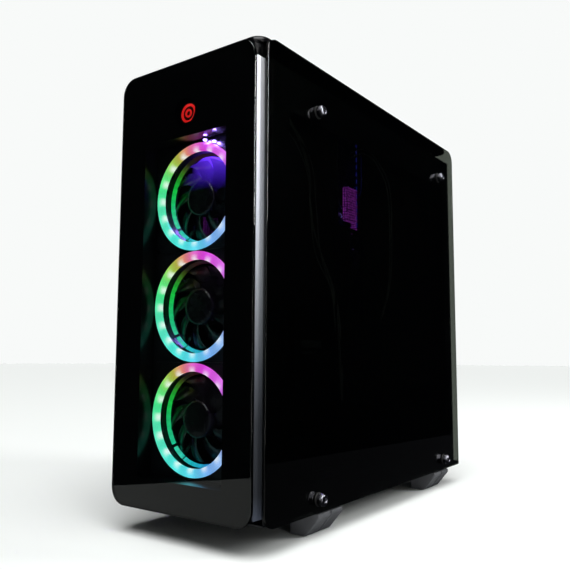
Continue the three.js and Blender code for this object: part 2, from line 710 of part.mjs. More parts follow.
/** The socket block beside the buttons: two flat sockets and two round ones, open at the top. */
function makePortBlock() {
  const { x0, x1, half } = portBlock;
  const top = height - 0.5;
  const body = block(x0, x1, portRow - half, portRow + half, chassisHigh + gap, top);
  const bottom = top - 13;
  const flat = portBlock.flat.map((x) => block(x - 7, x + 7, portRow - 3, portRow + 3, bottom, top + 1));
  const round = portBlock.round.map((x) => bar('z', [x, portRow, 0], 3, bottom, top + 1, 16));
  place('port_block', cut(body, ...flat, ...round), 'blackPlastic');
}

// ---------------------------------------------------------------------------------------------------
// The computer inside
// ---------------------------------------------------------------------------------------------------

const memory = { rows: [boardFront + 44, boardFront + 64], low: boardHigh - 144, high: boardHigh - 12 };
const memorySocket = { pitch: 10, proud: 5, half: 3, reach: 2 };

/** The motherboard with what is soldered to it: ports, sockets, slots and small heatsinks. */
function makeMotherboard() {
  const plate = block(boardFace, boardBack, boardFront, boardRear, boardLow, boardHigh);
  const on = (proud, y0, y1, z0, z1) => block(boardFace - proud, boardFace + 0.5, y0, y1, z0, z1);
  const { y, z } = socketCentre;
  const portProud = boardFace - ports.inner - 1;
  const { pitch, proud, half, reach } = memorySocket;
  const memorySockets = memory.rows.flatMap((row) => [row - pitch, row]).map((row) => (
    on(proud, row - half, row + half, memory.low - reach, memory.high + reach)
  ));
  const cardSockets = [0, 2, 4].map((i) => {
    const middle = slots.top - i * slotPitch;
    return on(8, boardFront + 94, boardFront + 184, middle - 3.5, middle + 3.5);
  });
  const fitted = [
    on(portProud, boardRear - 22, boardRear, ports.low + 2, ports.high - 2), // ports on the back
    on(4, y - 20, y + 20, z - 20, z + 20), // processor and its socket
    on(22, y + 39, y + 57, z - 42, z + 63), // heatsink between processor and ports
    on(18, y - 61, y + 39, z + 56, z + 70), // heatsink above the processor
    on(8, boardFront + 39, boardFront + 79, boardLow + 24, boardLow + 59), // heatsink on the chip set
    on(12, boardFront + 2, boardFront + 12, boardHigh - 171, boardHigh - 119), // main power socket
  ];
  place('motherboard', join(plate, ...fitted, ...cardSockets, ...memorySockets), 'circuitBoard');
}

/** A memory stick standing in its socket. */
function makeMemory(label, row) {
  const [thickHalf, tall] = [2.6, 32];
  const low = boardFace - memorySocket.proud - gap;
  const top = low - tall;
  const stick = block(top, low, row - thickHalf, row + thickHalf, memory.low, memory.high);
  const notches = [23, 66, 109].map((up) => {
    const z = memory.low + up;
    return block(top - 1, top + 4, row - 3, row + 3, z - 9, z + 9);
  });
  place(`memory_${label}`, cut(stick, ...notches), 'memoryFin');
}

const tower = { x: rearFan.x, halfDepth: 23, half: 60, out: -82, in: 22, fins: 9 };

/** The processor heatsink: a base on the processor, heat pipes and a stack of fins. */
function makeProcessorHeatsink() {
  const { y, z } = socketCentre;
  const [baseHalf, pipeStep, pipeRadius] = [19, 12, 3];
  const baseRight = boardFace - 4 - gap;
  const baseLeft = baseRight - 8.1;
  const base = block(baseLeft, baseRight, y - baseHalf, y + baseHalf, z - baseHalf, z + baseHalf);
  const pipes = [-pipeStep, pipeStep].flatMap((v) => [-pipeStep, pipeStep].map((u) => (
    bar('x', [0, y + u, z + v], pipeRadius, tower.out, baseLeft + 2, 4)
  )));
  const pitch = (tower.in - tower.out) / (tower.fins - 1);
  const { halfDepth, half } = tower;
  const fins = Array.from({ length: tower.fins }, (_, i) => {
    const x = tower.out + i * pitch;
    return block(x, x + 1, y - halfDepth, y + halfDepth, z - half, z + half);
  });
  place('processor_heatsink', join(base, ...pipes, ...fins), 'bareAluminium');
}

const plainFan = { bore: fanSize / 2 - 2.5, deep: 25, tip: fanSize / 2 - 4, width: 15, blades: 7 };

/** A plain fan on the case's or the cooler's back: frame and rotor about the Y axis. */
function makePlainFan(label, [x, z], front, rotorMiddle, strutsAtRear) {
  const { bore, deep, tip, width, blades } = plainFan;
  place(`${label}_frame`, fanFrame([x, z], front, bore, deep, strutsAtRear), 'blackPlastic');
  const wheel = rotor(tip, hubRadius, width, blades).translate(x, front + rotorMiddle, z);
  place(`${label}_rotor`, wheel, 'fanBlade');
}

function makePlainFans() {
  const coolerFront = socketCentre.y - tower.halfDepth - gap - plainFan.deep;
  makePlainFan('processor_fan', [tower.x, socketCentre.z], coolerFront, 10.5, true);
  makePlainFan('rear_fan', [rearFan.x, rearFan.z], rearFan.front, 14.5, false);
}

const card = {
  front: boardFront + 10.8,
  low: slots.top - 36,
  high: slots.top,
  left: -52,
  right: 52,
  fanRadius: 39,
  fanRows: [boardFront + 70.8, boardFront + 168.8],
};

/** The graphics card: board, cooler shroud with two fan wells underneath, and the slot bracket. */
function makeGraphicsCard() {
  const { front, low, high, left, right } = card;
  const plate = block(left, boardFace - 8 - gap, front, boardRear - 2, high - board.thick, high);
  const shroud = block(left, right, front, boardRear - 6, low, high - 1);
  const bracket = block(left, 60, boardRear - 1.4, boardRear, low - 1, high + 3);
  const link = block(left, 50, boardRear - 8, boardRear - 1, low + 8, high - 1);
  const plugs = [-38, -16, 6].map((x) => (
    block(x, x + 17, boardRear - 1, chassisRear + 0.5, high - 4, high + 3)
  ));
  const wellRadius = card.fanRadius + 2;
  const wells = card.fanRows.map((y) => bar('z', [0, y, 0], wellRadius, low - 1, low + 14, 32));
  const spindles = card.fanRows.map((y) => bar('z', [0, y, 0], 6, low + 9, low + 15, 12));
  const whole = join(plate, shroud, bracket, link, ...plugs);
  place('graphics_card', join(cut(whole, ...wells), ...spindles), 'blackPlastic');
  card.fanRows.forEach((y, i) => {
    const wheel = rotor(card.fanRadius, 13, 8, 6).rotate([90, 0, 0]);
    place(`graphics_card_fan_${i + 1}`, wheel.translate(0, y, low + 4.5), 'fanBlade');
  });
}

const inlet = { x: supply.left + 24, z: supply.high - 25, halfWidth: 13, halfHeight: 10, deep: 16 };
const rocker = { x: inlet.x + 36, z: inlet.z, width: 13, height: 19, deep: 14, pivotDepth: 6, tilt: 7 };

/** The power supply: a box with a vented back, a three-pin inlet and a window for its switch. */
function makePowerSupply() {
  const { left, right, low, high, front } = supply;
  const outside = boardRear + 1;
  const body = block(left, right, front, boardRear, low, high);
  const intakeY = (front + boardRear) / 2 - 12;
  const intake = bar('z', [0, intakeY, 0], 50, low - 1, low + 3, 32);
  const spokes = [0, 1, 2].map((i) => {
    const rod = new THREE.BoxGeometry(104, 4, 2).rotateZ(i * Math.PI / 3);
    return solid(rod.translate(0, intakeY, low + 1));
  });
  const recess = (spot, halfX, halfZ, deep) => (
    block(spot.x - halfX, spot.x + halfX, boardRear - deep, outside, spot.z - halfZ, spot.z + halfZ)
  );
  const socket = recess(inlet, inlet.halfWidth, inlet.halfHeight, inlet.deep);
  const window = recess(rocker, rocker.width / 2 + gap, rocker.height / 2 + gap, rocker.deep);
  const pins = [[-6, -4], [0, 0], [6, -4]].map(([x, from]) => {
    const pinX = inlet.x + x;
    return block(pinX - 1, pinX + 1, boardRear - 17, boardRear - 4, inlet.z + from, inlet.z + 5);
  });
  const [ventWide, ventStep, ventBorder] = [4, 7, 14];
  const vents = Array.from({ length: 9 }, (_, i) => {
    const x = rocker.x + 22 + i * ventStep;
    return block(x, x + ventWide, boardRear - 6, outside, low + ventBorder, high - ventBorder);
  });
  const whole = join(cut(body, intake, socket, window, ...vents), ...spokes, ...pins);
  place('power_supply', whole, 'blackSteel');
}

/** The power supply's rocker: two faces in a shallow V about its pivot, with the upper half pressed in. */
function makeRocker() {
  const pivot = boardRear - rocker.pivotDepth;
  const half = rocker.height / 2 - 0.9;
  const [back, face, valley] = [-3, 5, 3.4];
  const outline = polygon([[back, -half], [face, -half], [valley, 0], [face, half], [back, half]]);
  const key = slabX(outline, -rocker.width / 2, rocker.width / 2).rotate([rocker.tilt, 0, 0]);
  place('supply_switch', key.translate(rocker.x, pivot, rocker.z), 'blackPlastic');
}

/** A solid-state drive on the back of the tray, with its plug ledge at the top. */
function makeSolidStateDrive() {
  const { length, width, thick } = solidStateBox;
  const front = wallRear + 32.5;
  const low = shroudTop + 28.5;
  const face = trayFace + gap;
  const body = slabX(rounded(front, front + length, low, low + width, 2.5), face, face + thick);
  const top = low + width;
  const ledge = block(face + thick - 4, face + thick + 1, front + 12, front + 46, top - 6, top + 1);
  place('solid_state_drive', cut(body, ledge), 'blackPlastic');
}

const cage = {
  front: wallRear + 86.5,
  long: 108,
  half: 75,
  low: floorTop + gap,
  tall: 70.5,
  shelves: [8.5, 38.5],
};

/** The drive cage on the floor: two walls with shelf lips, and a top, open at both ends. */
function makeDriveCage() {
  const { front, half, low } = cage;
  const rear = front + cage.long;
  const high = floorTop + cage.tall;
  const wall = (y) => block(-half, half, y, y + sheet, low, high);
  const top = block(-half, half, front, rear, high - sheet, high);
  const lips = cage.shelves.flatMap((up) => {
    const z = floorTop + up;
    return [front + 1, rear - 6].map((y) => block(-half, half, y, y + 5, z - sheet, z));
  });
  place('drive_cage', join(top, wall(front), wall(rear - sheet), ...lips), 'blackSteel');
}

function makeHardDrive() {
  const { width, length, thick } = hardDriveBox;
  const middle = cage.front + cage.long / 2;
  const low = floorTop + cage.shelves[0] + gap;
  const body = block(-length / 2, length / 2, middle - width / 2, middle + width / 2, low, low + thick);
  const plug = block(length / 2 - 5, length / 2 + 1, middle - 20, middle + 20, low - 1, low + 7);
  place('hard_drive', cut(body, plug), 'bareAluminium');
}

/** The cables that the case holds from end to end, behind the tray and through its openings. */
function makeCables() {
  const behind = trayFace + 6.5;
  const slotMiddle = (cableSlot.low + cableSlot.high) / 2;
  const plugZ = boardHigh - 145;
  place('main_power_cable', tube([
    [40, supply.front - 0.8, supply.low + 40],
    [40, supply.front - 12, supply.low + 40],
    [52, supply.front - 32, supply.low + 40],
    [trayInner - 0.5, supply.front - 59, supply.low + 50],
    [behind, boardFront - 11, shroudTop - 9.5],
    [behind, boardFront - 61, boardLow - 1],
    [behind, boardFront - 69, cableSlot.low - 10],
    [behind, boardFront - 48, slotMiddle - 10],
    [trayFace - 1, boardFront - 22, slotMiddle + 17],
    [boardFace - 4.4, boardFront - 11, plugZ],
    [boardFace - 19.2, boardFront + 1, plugZ],
  ], 4.4, 38, 8), 'cableSleeve');
  const front = wallRear + 1;
  place('fan_cable', tube([
    [trayFace + 4, front, boardHigh - 35],
    [trayFace + 6, front + 37.5, boardHigh - 43],
    [trayFace + 8, front + 75.5, boardHigh - 69],
    [trayFace + 9, front + 99.5, boardHigh - 111],
    [trayFace + 8, front + 107.5, boardHigh - 151],
    [trayFace + 7, front + 113.5, boardHigh - 196],
    [trayFace + 6, front + 115.5, boardLow + 59],
    [trayFace + 6, front + 119.5, boardLow + 14],
    [trayFace + 6, front + 123.5, shroudTop + 18.5],
    [trayFace + 4, front + 129.5, shroudTop - 7.5],
    [trayFace - 6, front + 139.5, shroudTop - 15.5],
  ], 1.6, 34, 6), 'cableSleeve');
}

// ---------------------------------------------------------------------------------------------------
// Assembly
// ---------------------------------------------------------------------------------------------------

makeFrontGlass();
makeFrontBezel();
makeBadge();
frontFans.forEach(makeFrontFan);
makeFrontWall();
makeChassisFloor();
makeChassisRoof();
makeRearPanel();
makeMotherboardTray();
makeSupplyShroud();
sides.forEach(([label, side]) => {
  makeCornerStrip(label, side);
  makeSideFrame(label, side);
  makeSideGlass(label, side);
  screwPlaces.forEach((spot) => makeThumbscrew(label, side, spot));
  makeFoot('front', footRows[0], label, side);
  makeFoot('rear', footRows[1], label, side);
});
makeBottomFilter();
makeLid();
makeLidFilter();
makeButton('power_button', power);
makeButton('reset_button', reset);
makePortBlock();
makeMotherboard();
makeMemory('front', memory.rows[0]);
makeMemory('rear', memory.rows[1]);
makeProcessorHeatsink();
makePlainFans();
makeGraphicsCard();
makePowerSupply();
makeRocker();
makeSolidStateDrive();
makeDriveCage();
makeHardDrive();
makeCables();

export default computer;
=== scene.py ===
"""Looks of a desktop computer tower: glass, strips, ring-lit fans, feet, lid and the computer inside.

Sizes are in millimetres in the case's own coordinates: X to the right as seen from the front, Y from the
front glass's face to the back, Z up from the floor. They become metres in the row's frame in to_row.
"""

from __future__ import annotations

import json
import logging
import math
from dataclasses import dataclass, field
from enum import Enum
from functools import cache
from typing import Any, Callable, Sequence

import bmesh
import bpy
import numpy as np
from bpy.types import Material, Node, NodeSocket, Object
from mathutils import Euler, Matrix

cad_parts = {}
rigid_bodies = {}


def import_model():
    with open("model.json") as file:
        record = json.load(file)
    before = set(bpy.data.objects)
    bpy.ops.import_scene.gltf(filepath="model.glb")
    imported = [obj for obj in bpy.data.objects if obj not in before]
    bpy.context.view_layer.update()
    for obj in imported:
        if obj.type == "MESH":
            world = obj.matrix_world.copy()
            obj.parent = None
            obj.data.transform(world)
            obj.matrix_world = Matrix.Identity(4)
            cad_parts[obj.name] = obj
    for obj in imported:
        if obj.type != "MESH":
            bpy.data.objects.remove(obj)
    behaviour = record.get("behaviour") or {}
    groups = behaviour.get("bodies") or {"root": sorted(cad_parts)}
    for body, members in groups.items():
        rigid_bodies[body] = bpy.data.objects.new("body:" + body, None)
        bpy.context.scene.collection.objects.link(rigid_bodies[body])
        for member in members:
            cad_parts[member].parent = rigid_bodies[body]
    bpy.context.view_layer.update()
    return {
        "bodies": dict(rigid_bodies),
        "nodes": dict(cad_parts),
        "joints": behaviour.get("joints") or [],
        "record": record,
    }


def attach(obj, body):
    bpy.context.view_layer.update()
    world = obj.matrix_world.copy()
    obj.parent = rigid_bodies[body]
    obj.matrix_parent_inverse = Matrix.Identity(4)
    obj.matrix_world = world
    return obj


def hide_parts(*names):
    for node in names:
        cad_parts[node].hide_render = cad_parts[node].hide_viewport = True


LOG = logging.getLogger("tower")
HALF_DEPTH = 250.75
RIM_RADIUS = 6.5
SLOT_PITCH = 20.32
SMOOTH_UNDER = 38.0
FAN_HEIGHTS = {"lower": 124.3, "middle": 244.3, "upper": 364.3}
CASE = "case"


class Side(Enum):
    """The two sides of the case, with the sign of their X."""

    RIGHT = 1
    LEFT = -1


class Axis(Enum):
    """The axis that a turned piece goes round."""

    X = 0
    Y = 1
    Z = 2


# ---- Surfaces ----


def to_row(points: np.ndarray) -> np.ndarray:
    """Turns case millimetres into row metres."""
    return (np.asarray(points, float) - (0.0, HALF_DEPTH, 0.0)) / 1000.0


def linked(name: str, data: bpy.types.ID) -> Object:
    """Adds an object that holds a mesh, a light or a camera to the scene.

    Args:
        name: its name.
        data: what it holds.

    Returns:
        The object.
    """
    item = bpy.data.objects.new(name, data)
    bpy.context.scene.collection.objects.link(item)
    return item


def across_path(path: np.ndarray) -> tuple[np.ndarray, np.ndarray]:
    """Two directions square to a path, and to each other, at each of its points.

    Args:
        path: an (n, 3) array of points.

    Returns:
        Two (n, 3) arrays.
    """
    way = np.gradient(path, axis=0)
    way /= np.linalg.norm(way, axis=1, keepdims=True)
    across = np.cross(way, (0.31, 0.17, 0.93))
    across /= np.linalg.norm(across, axis=1, keepdims=True)
    return across, np.cross(way, across)


def grid_faces(rows: int, columns: int, wrap_rows: bool, wrap_columns: bool) -> np.ndarray:
    """Quads of a parameter grid whose point (i, j) has the index i * columns + j.

    Args:
        rows: how many rows of points.
        columns: how many points in a row.
        wrap_rows: whether the last row joins the first.
        wrap_columns: whether each row is a closed loop.

    Returns:
        An (n, 4) array of corner indices.
    """
    i = np.arange(rows if wrap_rows else rows - 1)[:, None]
    j = np.arange(columns if wrap_columns else columns - 1)[None, :]
    here, there = i * columns, ((i + 1) % rows) * columns
    right = (j + 1) % columns
    corners = np.stack([here + j, here + right, there + right, there + j], axis=-1)
    return corners.reshape(-1, 4)


def outward(points: np.ndarray, faces: list[list[int]]) -> list[list[int]]:
    """Turns all the faces of a closed surface round if it encloses a negative volume.

    Args:
        points: its points.
        faces: its faces, all turned the same way.

    Returns:
        The faces with their outsides outwards.
    """
    volume = 0.0
    for size in {len(face) for face in faces}:
        loops = np.array([face for face in faces if len(face) == size])
        first = points[loops[:, 0]]
        for k in range(1, size - 1):
            cross = np.cross(points[loops[:, k]], points[loops[:, k + 1]])
            volume += float(np.sum(first * cross))
    return faces if volume > 0 else [face[::-1] for face in faces]


@dataclass
class Surface:
    """Closed surfaces gathered into one mesh."""

    points: list[np.ndarray] = field(default_factory=list)
    faces: list[list[int]] = field(default_factory=list)
    count: int = 0

    def add(self, points: np.ndarray, faces: list[list[int]]) -> Surface:
        """Adds one closed surface, turned so that its faces point outwards.

        Args:
            points: an (n, 3) array.
            faces: indices into it.

        Returns:
            This surface, to go on adding.
        """
        turned = outward(points - points.mean(axis=0), faces)
        self.faces += [[k + self.count for k in face] for face in turned]
        self.points.append(points)
        self.count += len(points)
        return self

    def loft(self, loops: np.ndarray, ends: bool = True) -> Surface:
        """Adds a surface through closed loops with the same number of points each.

        Args:
            loops: an (m, n, 3) array of m loops.
            ends: True closes the first and last loop with a face; False joins last to first.

        Returns:
            This surface.
        """
        m, n, _ = loops.shape
        faces = grid_faces(m, n, not ends, True).tolist()
        if ends:
            faces += [list(range(n))[::-1], list(range((m - 1) * n, m * n))]
        return self.add(loops.reshape(-1, 3), faces)

    def box(self, x0: float, x1: float, y0: float, y1: float, z0: float, z1: float) -> Surface:
        """Adds a block between two corners.

        Args:
            x0, x1, y0, y1, z0, z1: its extent along each axis.

        Returns:
            This surface.
        """
        ring = np.array([[x0, y0], [x1, y0], [x1, y1], [x0, y1]])
        loops = np.stack([np.column_stack([ring, np.full(4, z)]) for z in (z0, z1)])
        return self.loft(loops)

    def turned(
        self,
        profile: Sequence[tuple[float, float]],
        centre: Sequence[float],
        axis: Axis,
        segments: int = 48,
        ripple: float = 0.0,
        teeth: int = 0,
    ) -> Surface:
        """Adds a closed profile of (radius, along) turned round an axis.

        The radius of a point at angle t is its profile radius times 1 + ripple * cos(teeth * t).

        Args:
            profile: corners, from one end of the axis to the other; radius 0 closes an end.
            centre: a point on the axis, from which along is counted.
            axis: the axis.
            segments: points round it.
            ripple: the depth of a fluting, as a share of the radius.
            teeth: how many flutes.

        Returns:
            This surface.
        """
        turn = np.linspace(0, 2 * np.pi, segments, endpoint=False)
        radius, along = np.array(profile, float).T
        scale = 1 + ripple * np.cos(teeth * turn)[None, :]
        u = radius[:, None] * scale * np.cos(turn)[None, :]
        v = radius[:, None] * scale * np.sin(turn)[None, :]
        w = np.repeat(along[:, None], segments, axis=1)
        order = {Axis.X: (w, u, v), Axis.Y: (v, w, u), Axis.Z: (u, v, w)}[axis]
        loops = np.stack(order, axis=-1) + np.asarray(centre, float)
        if radius[0] == 0 and radius[-1] == 0:
            inner = loops[1:-1]
            m, n, _ = inner.shape
            faces = grid_faces(m, n, False, True).tolist()
            low, high = m * n, m * n + 1
            j = np.arange(n)
            k = (j + 1) % n
            faces += np.column_stack([k, j, np.full(n, low)]).tolist()
            last = (m - 1) * n
            faces += np.column_stack([last + j, last + k, np.full(n, high)]).tolist()
            points = np.vstack([inner.reshape(-1, 3), loops[0, :1], loops[-1, :1]])
            return self.add(points, faces)
        return self.loft(loops, ends=False)

    def tube(self, path: np.ndarray, radius: float, sides: int = 12) -> Surface:
        """Adds a round tube along a path, its loops square to the path's direction.

        Args:
            path: an (n, 3) array of points.
            radius: the tube's radius.
            sides: points round it.

        Returns:
            This surface.
        """
        across, other = across_path(path)
        turn = np.linspace(0, 2 * np.pi, sides, endpoint=False)
        ring = np.cos(turn)[None, :, None] * across[:, None] + np.sin(turn)[None, :, None] * other[:, None]
        return self.loft(path[:, None, :] + radius * ring)

    def placed(self, centre: Sequence[float], axis: Axis = Axis.Y) -> Surface:
        """Moves everything from the origin to a centre, after turning its Y axis to Z if that is asked.

        Args:
            centre: where the origin goes.
            axis: Axis.Y leaves the directions; Axis.Z sends (x, y, z) to (x, -z, y).

        Returns:
            This surface.
        """
        if axis is Axis.Z:
            self.points = [points[:, (0, 2, 1)] * (1, -1, 1) for points in self.points]
        self.points = [points + np.asarray(centre, float) for points in self.points]
        return self

    def build(self, name: str, material: Material, smooth_under: float = SMOOTH_UNDER) -> Object:
        """Makes one object, at the origin, of everything added so far.

        Args:
            name: the piece's name.
            material: its finish.
            smooth_under: edges that bend less than this many degrees are shaded smooth.

        Returns:
            The linked object.
        """
        mesh = bpy.data.meshes.new(name)
        mesh.from_pydata(to_row(np.vstack(self.points)).tolist(), [], self.faces)
        mesh.polygons.foreach_set("use_smooth", np.ones(len(mesh.polygons), bool))
        mesh.set_sharp_from_angle(angle=math.radians(smooth_under))
        mesh.materials.append(material)
        mesh.update()
        return linked(name, mesh)

    def piece(
        self,
        name: str,
        finish: Finish,
        slot: str,
        nodes: Sequence[str] = (),
        body: str = CASE,
        ease: float = 0.0,
        smooth_under: float = SMOOTH_UNDER,
    ) -> Object:
        """Makes one piece of the tower of everything added so far.

        Args:
            name: the piece's name.
            finish: its finish.
            slot: names a material slot; not used.
            nodes: the plain solids that it is shown in place of.
            body: the body it moves with.
            ease: the rounding of its sharp edges in millimetres, or 0 for none.
            smooth_under: edges that bend less than this many degrees are shaded smooth.

        Returns:
            The piece.
        """
        piece = self.build(name, finish.material(), smooth_under)
        if ease:
            ease_edges(piece, ease)
        return stands_for(piece, body, nodes)


def rounded_loop(
    u0: float, u1: float, v0: float, v1: float, radii: Sequence[float], steps: int = 10
) -> np.ndarray:
    """A rectangle's outline with a quarter circle at each corner.

    Args:
        u0, u1, v0, v1: its extent.
        radii: corner radii, low-left, low-right, high-right, high-left.
        steps: points in each quarter circle.

    Returns:
        A (4 * steps, 2) array, anticlockwise.
    """
    ll, lr, hr, hl = (max(radius, 1e-3) for radius in radii)
    centres = np.array([[u0 + ll, v0 + ll], [u1 - lr, v0 + lr], [u1 - hr, v1 - hr], [u0 + hl, v1 - hl]])
    starts = np.array([1.0, 1.5, 0.0, 0.5]) * np.pi
    turn = starts[:, None] + np.linspace(0, np.pi / 2, steps)[None, :]
    size = np.array([ll, lr, hr, hl])[:, None]
    u = centres[:, :1] + size * np.cos(turn)
    v = centres[:, 1:] + size * np.sin(turn)
    return np.stack([u, v], axis=-1).reshape(-1, 2)


def evenly(loop: np.ndarray, count: int) -> np.ndarray:
    """A closed outline again, with its points at equal steps along it.

    Args:
        loop: its points.
        count: how many points to give.

    Returns:
        A (count, 2) array.
    """
    closed = np.vstack([loop, loop[:1]])
    along = np.concatenate([[0.0], np.cumsum(np.linalg.norm(np.diff(closed, axis=0), axis=1))])
    steps = np.linspace(0.0, along[-1], count, endpoint=False)
    return np.column_stack([np.interp(steps, along, closed[:, k]) for k in (0, 1)])


def slab_loops(
    extent: Sequence[float], radii: Sequence[float], levels: Sequence[tuple[float, float]], axis: Axis
) -> np.ndarray:
    """Loops of a flat slab with eased edges: each level is an outline drawn in by its inset.

    Args:
        extent: u0, u1, v0, v1 of the full outline; (u, v) is (y, z), (x, z) or (x, y).
        radii: its corner radii.
        levels: pairs of (position along the axis, inset).
        axis: the slab's thickness direction.

    Returns:
        An (m, n, 3) array.
    """
    u0, u1, v0, v1 = extent
    loops = []
    for along, inset in levels:
        rounding = [max(radius - inset, 0.01) for radius in radii]
        ring = rounded_loop(u0 + inset, u1 - inset, v0 + inset, v1 - inset, rounding)
        w = np.full(len(ring), along)
        u, v = ring.T
        loops.append(np.column_stack({Axis.X: (w, u, v), Axis.Y: (u, w, v), Axis.Z: (u, v, w)}[axis]))
    return np.stack(loops)


def eased(low: float, high: float, ease: float) -> list[tuple[float, float]]:
    """Levels of a slab whose edges are rounded over.

    Args:
        low, high: its two faces.
        ease: the radius of the rounding.

    Returns:
        Pairs of (position, inset) for slab_loops.
    """
    turn = np.linspace(0, np.pi / 2, 5)
    start = [(low, ease + 0.4)]
    start += [(low + ease * (1 - math.sin(t)), ease * (1 - math.cos(t))) for t in turn[::-1]]
    return start + [(low + high - along, inset) for along, inset in reversed(start)]


def smooth_path(knots: Sequence[Sequence[float]], count: int) -> np.ndarray:
    """A smooth curve through knots, cubic between each two, with Catmull-Rom tangents.

    Args:
        knots: the points it goes through.
        count: how many points to return.

    Returns:
        A (count, 3) array.
    """
    p = np.asarray(knots, float)
    tangent = np.gradient(p, axis=0)
    s = np.linspace(0, len(p) - 1, count)
    i = np.minimum(s.astype(int), len(p) - 2)
    t = (s - i)[:, None]
    a, b, da, db = p[i], p[i + 1], tangent[i], tangent[i + 1]
    return (
        (2 * t**3 - 3 * t**2 + 1) * a
        + (t**3 - 2 * t**2 + t) * da
        + (3 * t**2 - 2 * t**3) * b
        + (t**3 - t**2) * db
    )


def ease_edges(piece: Object, width: float) -> None:
    """Rounds a piece's sharp edges with a Bevel modifier.

    Args:
        piece: the piece.
        width: the rounding in millimetres.
    """
    bevel = piece.modifiers.new("eased_edges", "BEVEL")
    bevel.width = width / 1000
    bevel.segments = 2
    bevel.limit_method = "ANGLE"
    bevel.angle_limit = math.radians(40)
    bevel.harden_normals = True


def eased_copy(
    node: Object,
    finish: Finish,
    body: str,
    width: float,
    round_over: Callable[[np.ndarray], np.ndarray] | None = None,
) -> Object:
    """Shows a solid with its flat faces whole and its edges rounded, in place of the plain solid.

    Args:
        node: the solid, which stays as it is.
        finish: its finish.
        body: the body it moves with.
        width: the rounding in millimetres.
        round_over: tells which points, in case millimetres, lie on the edge that is rounded by RIM_RADIUS.

    Returns:
        The piece.
    """
    mesh = node.data.copy()
    shape = bmesh.new()
    shape.from_mesh(mesh)
    bmesh.ops.remove_doubles(shape, verts=shape.verts, dist=1e-6)
    bmesh.ops.dissolve_limit(shape, angle_limit=math.radians(0.6), verts=shape.verts, edges=shape.edges)
    shape.to_mesh(mesh)
    shape.free()
    mesh.materials.clear()
    mesh.materials.append(finish.material())
    mesh.polygons.foreach_set("use_smooth", np.ones(len(mesh.polygons), bool))
    mesh.set_sharp_from_angle(angle=math.radians(SMOOTH_UNDER))
    piece = linked(f"{node.name}_finished", mesh)
    if round_over:
        places = np.empty(len(mesh.vertices) * 3)
        mesh.vertices.foreach_get("co", places)
        ends = np.empty(len(mesh.edges) * 2, np.int64)
        mesh.edges.foreach_get("vertices", ends)
        chosen = round_over(places.reshape(-1, 3) * 1000 + (0.0, HALF_DEPTH, 0.0))
        on_edge = chosen[ends.reshape(-1, 2)].all(axis=1)
        weights = mesh.attributes.new("bevel_weight_edge", "FLOAT", "EDGE")
        weights.data.foreach_set("value", on_edge.astype(float))
        wide = piece.modifiers.new("rounded_rim", "BEVEL")
        wide.width, wide.segments, wide.limit_method = RIM_RADIUS / 1000, 7, "WEIGHT"
        wide.use_clamp_overlap = False
    ease_edges(piece, width)
    return stands_for(piece, body, [node.name])


def stands_for(piece: Object, body: str, nodes: Sequence[str]) -> Object:
    """Ties a piece to its body and the plain solids that it is shown in place of.

    Args:
        piece: the piece.
        body: the body it moves with.
        nodes: the solids that aren't shown.

    Returns:
        The piece.
    """
    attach(piece, body)
    if nodes:
        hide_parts(*nodes)
    LOG.info("%s: %d faces", piece.name, len(piece.data.polygons))
    return piece


# ---- Finishes ----


def srgb(code: str) -> tuple[float, float, float, float]:
    """Turns a hex colour into linear light.

    Args:
        code: such as "#1a1b1d".

    Returns:
        Red, green, blue and alpha.
    """
    parts = [int(code[k : k + 2], 16) / 255 for k in (1, 3, 5)]
    linear = [p / 12.92 if p <= 0.04045 else ((p + 0.055) / 1.055) ** 2.4 for p in parts]
    return (*linear, 1.0)


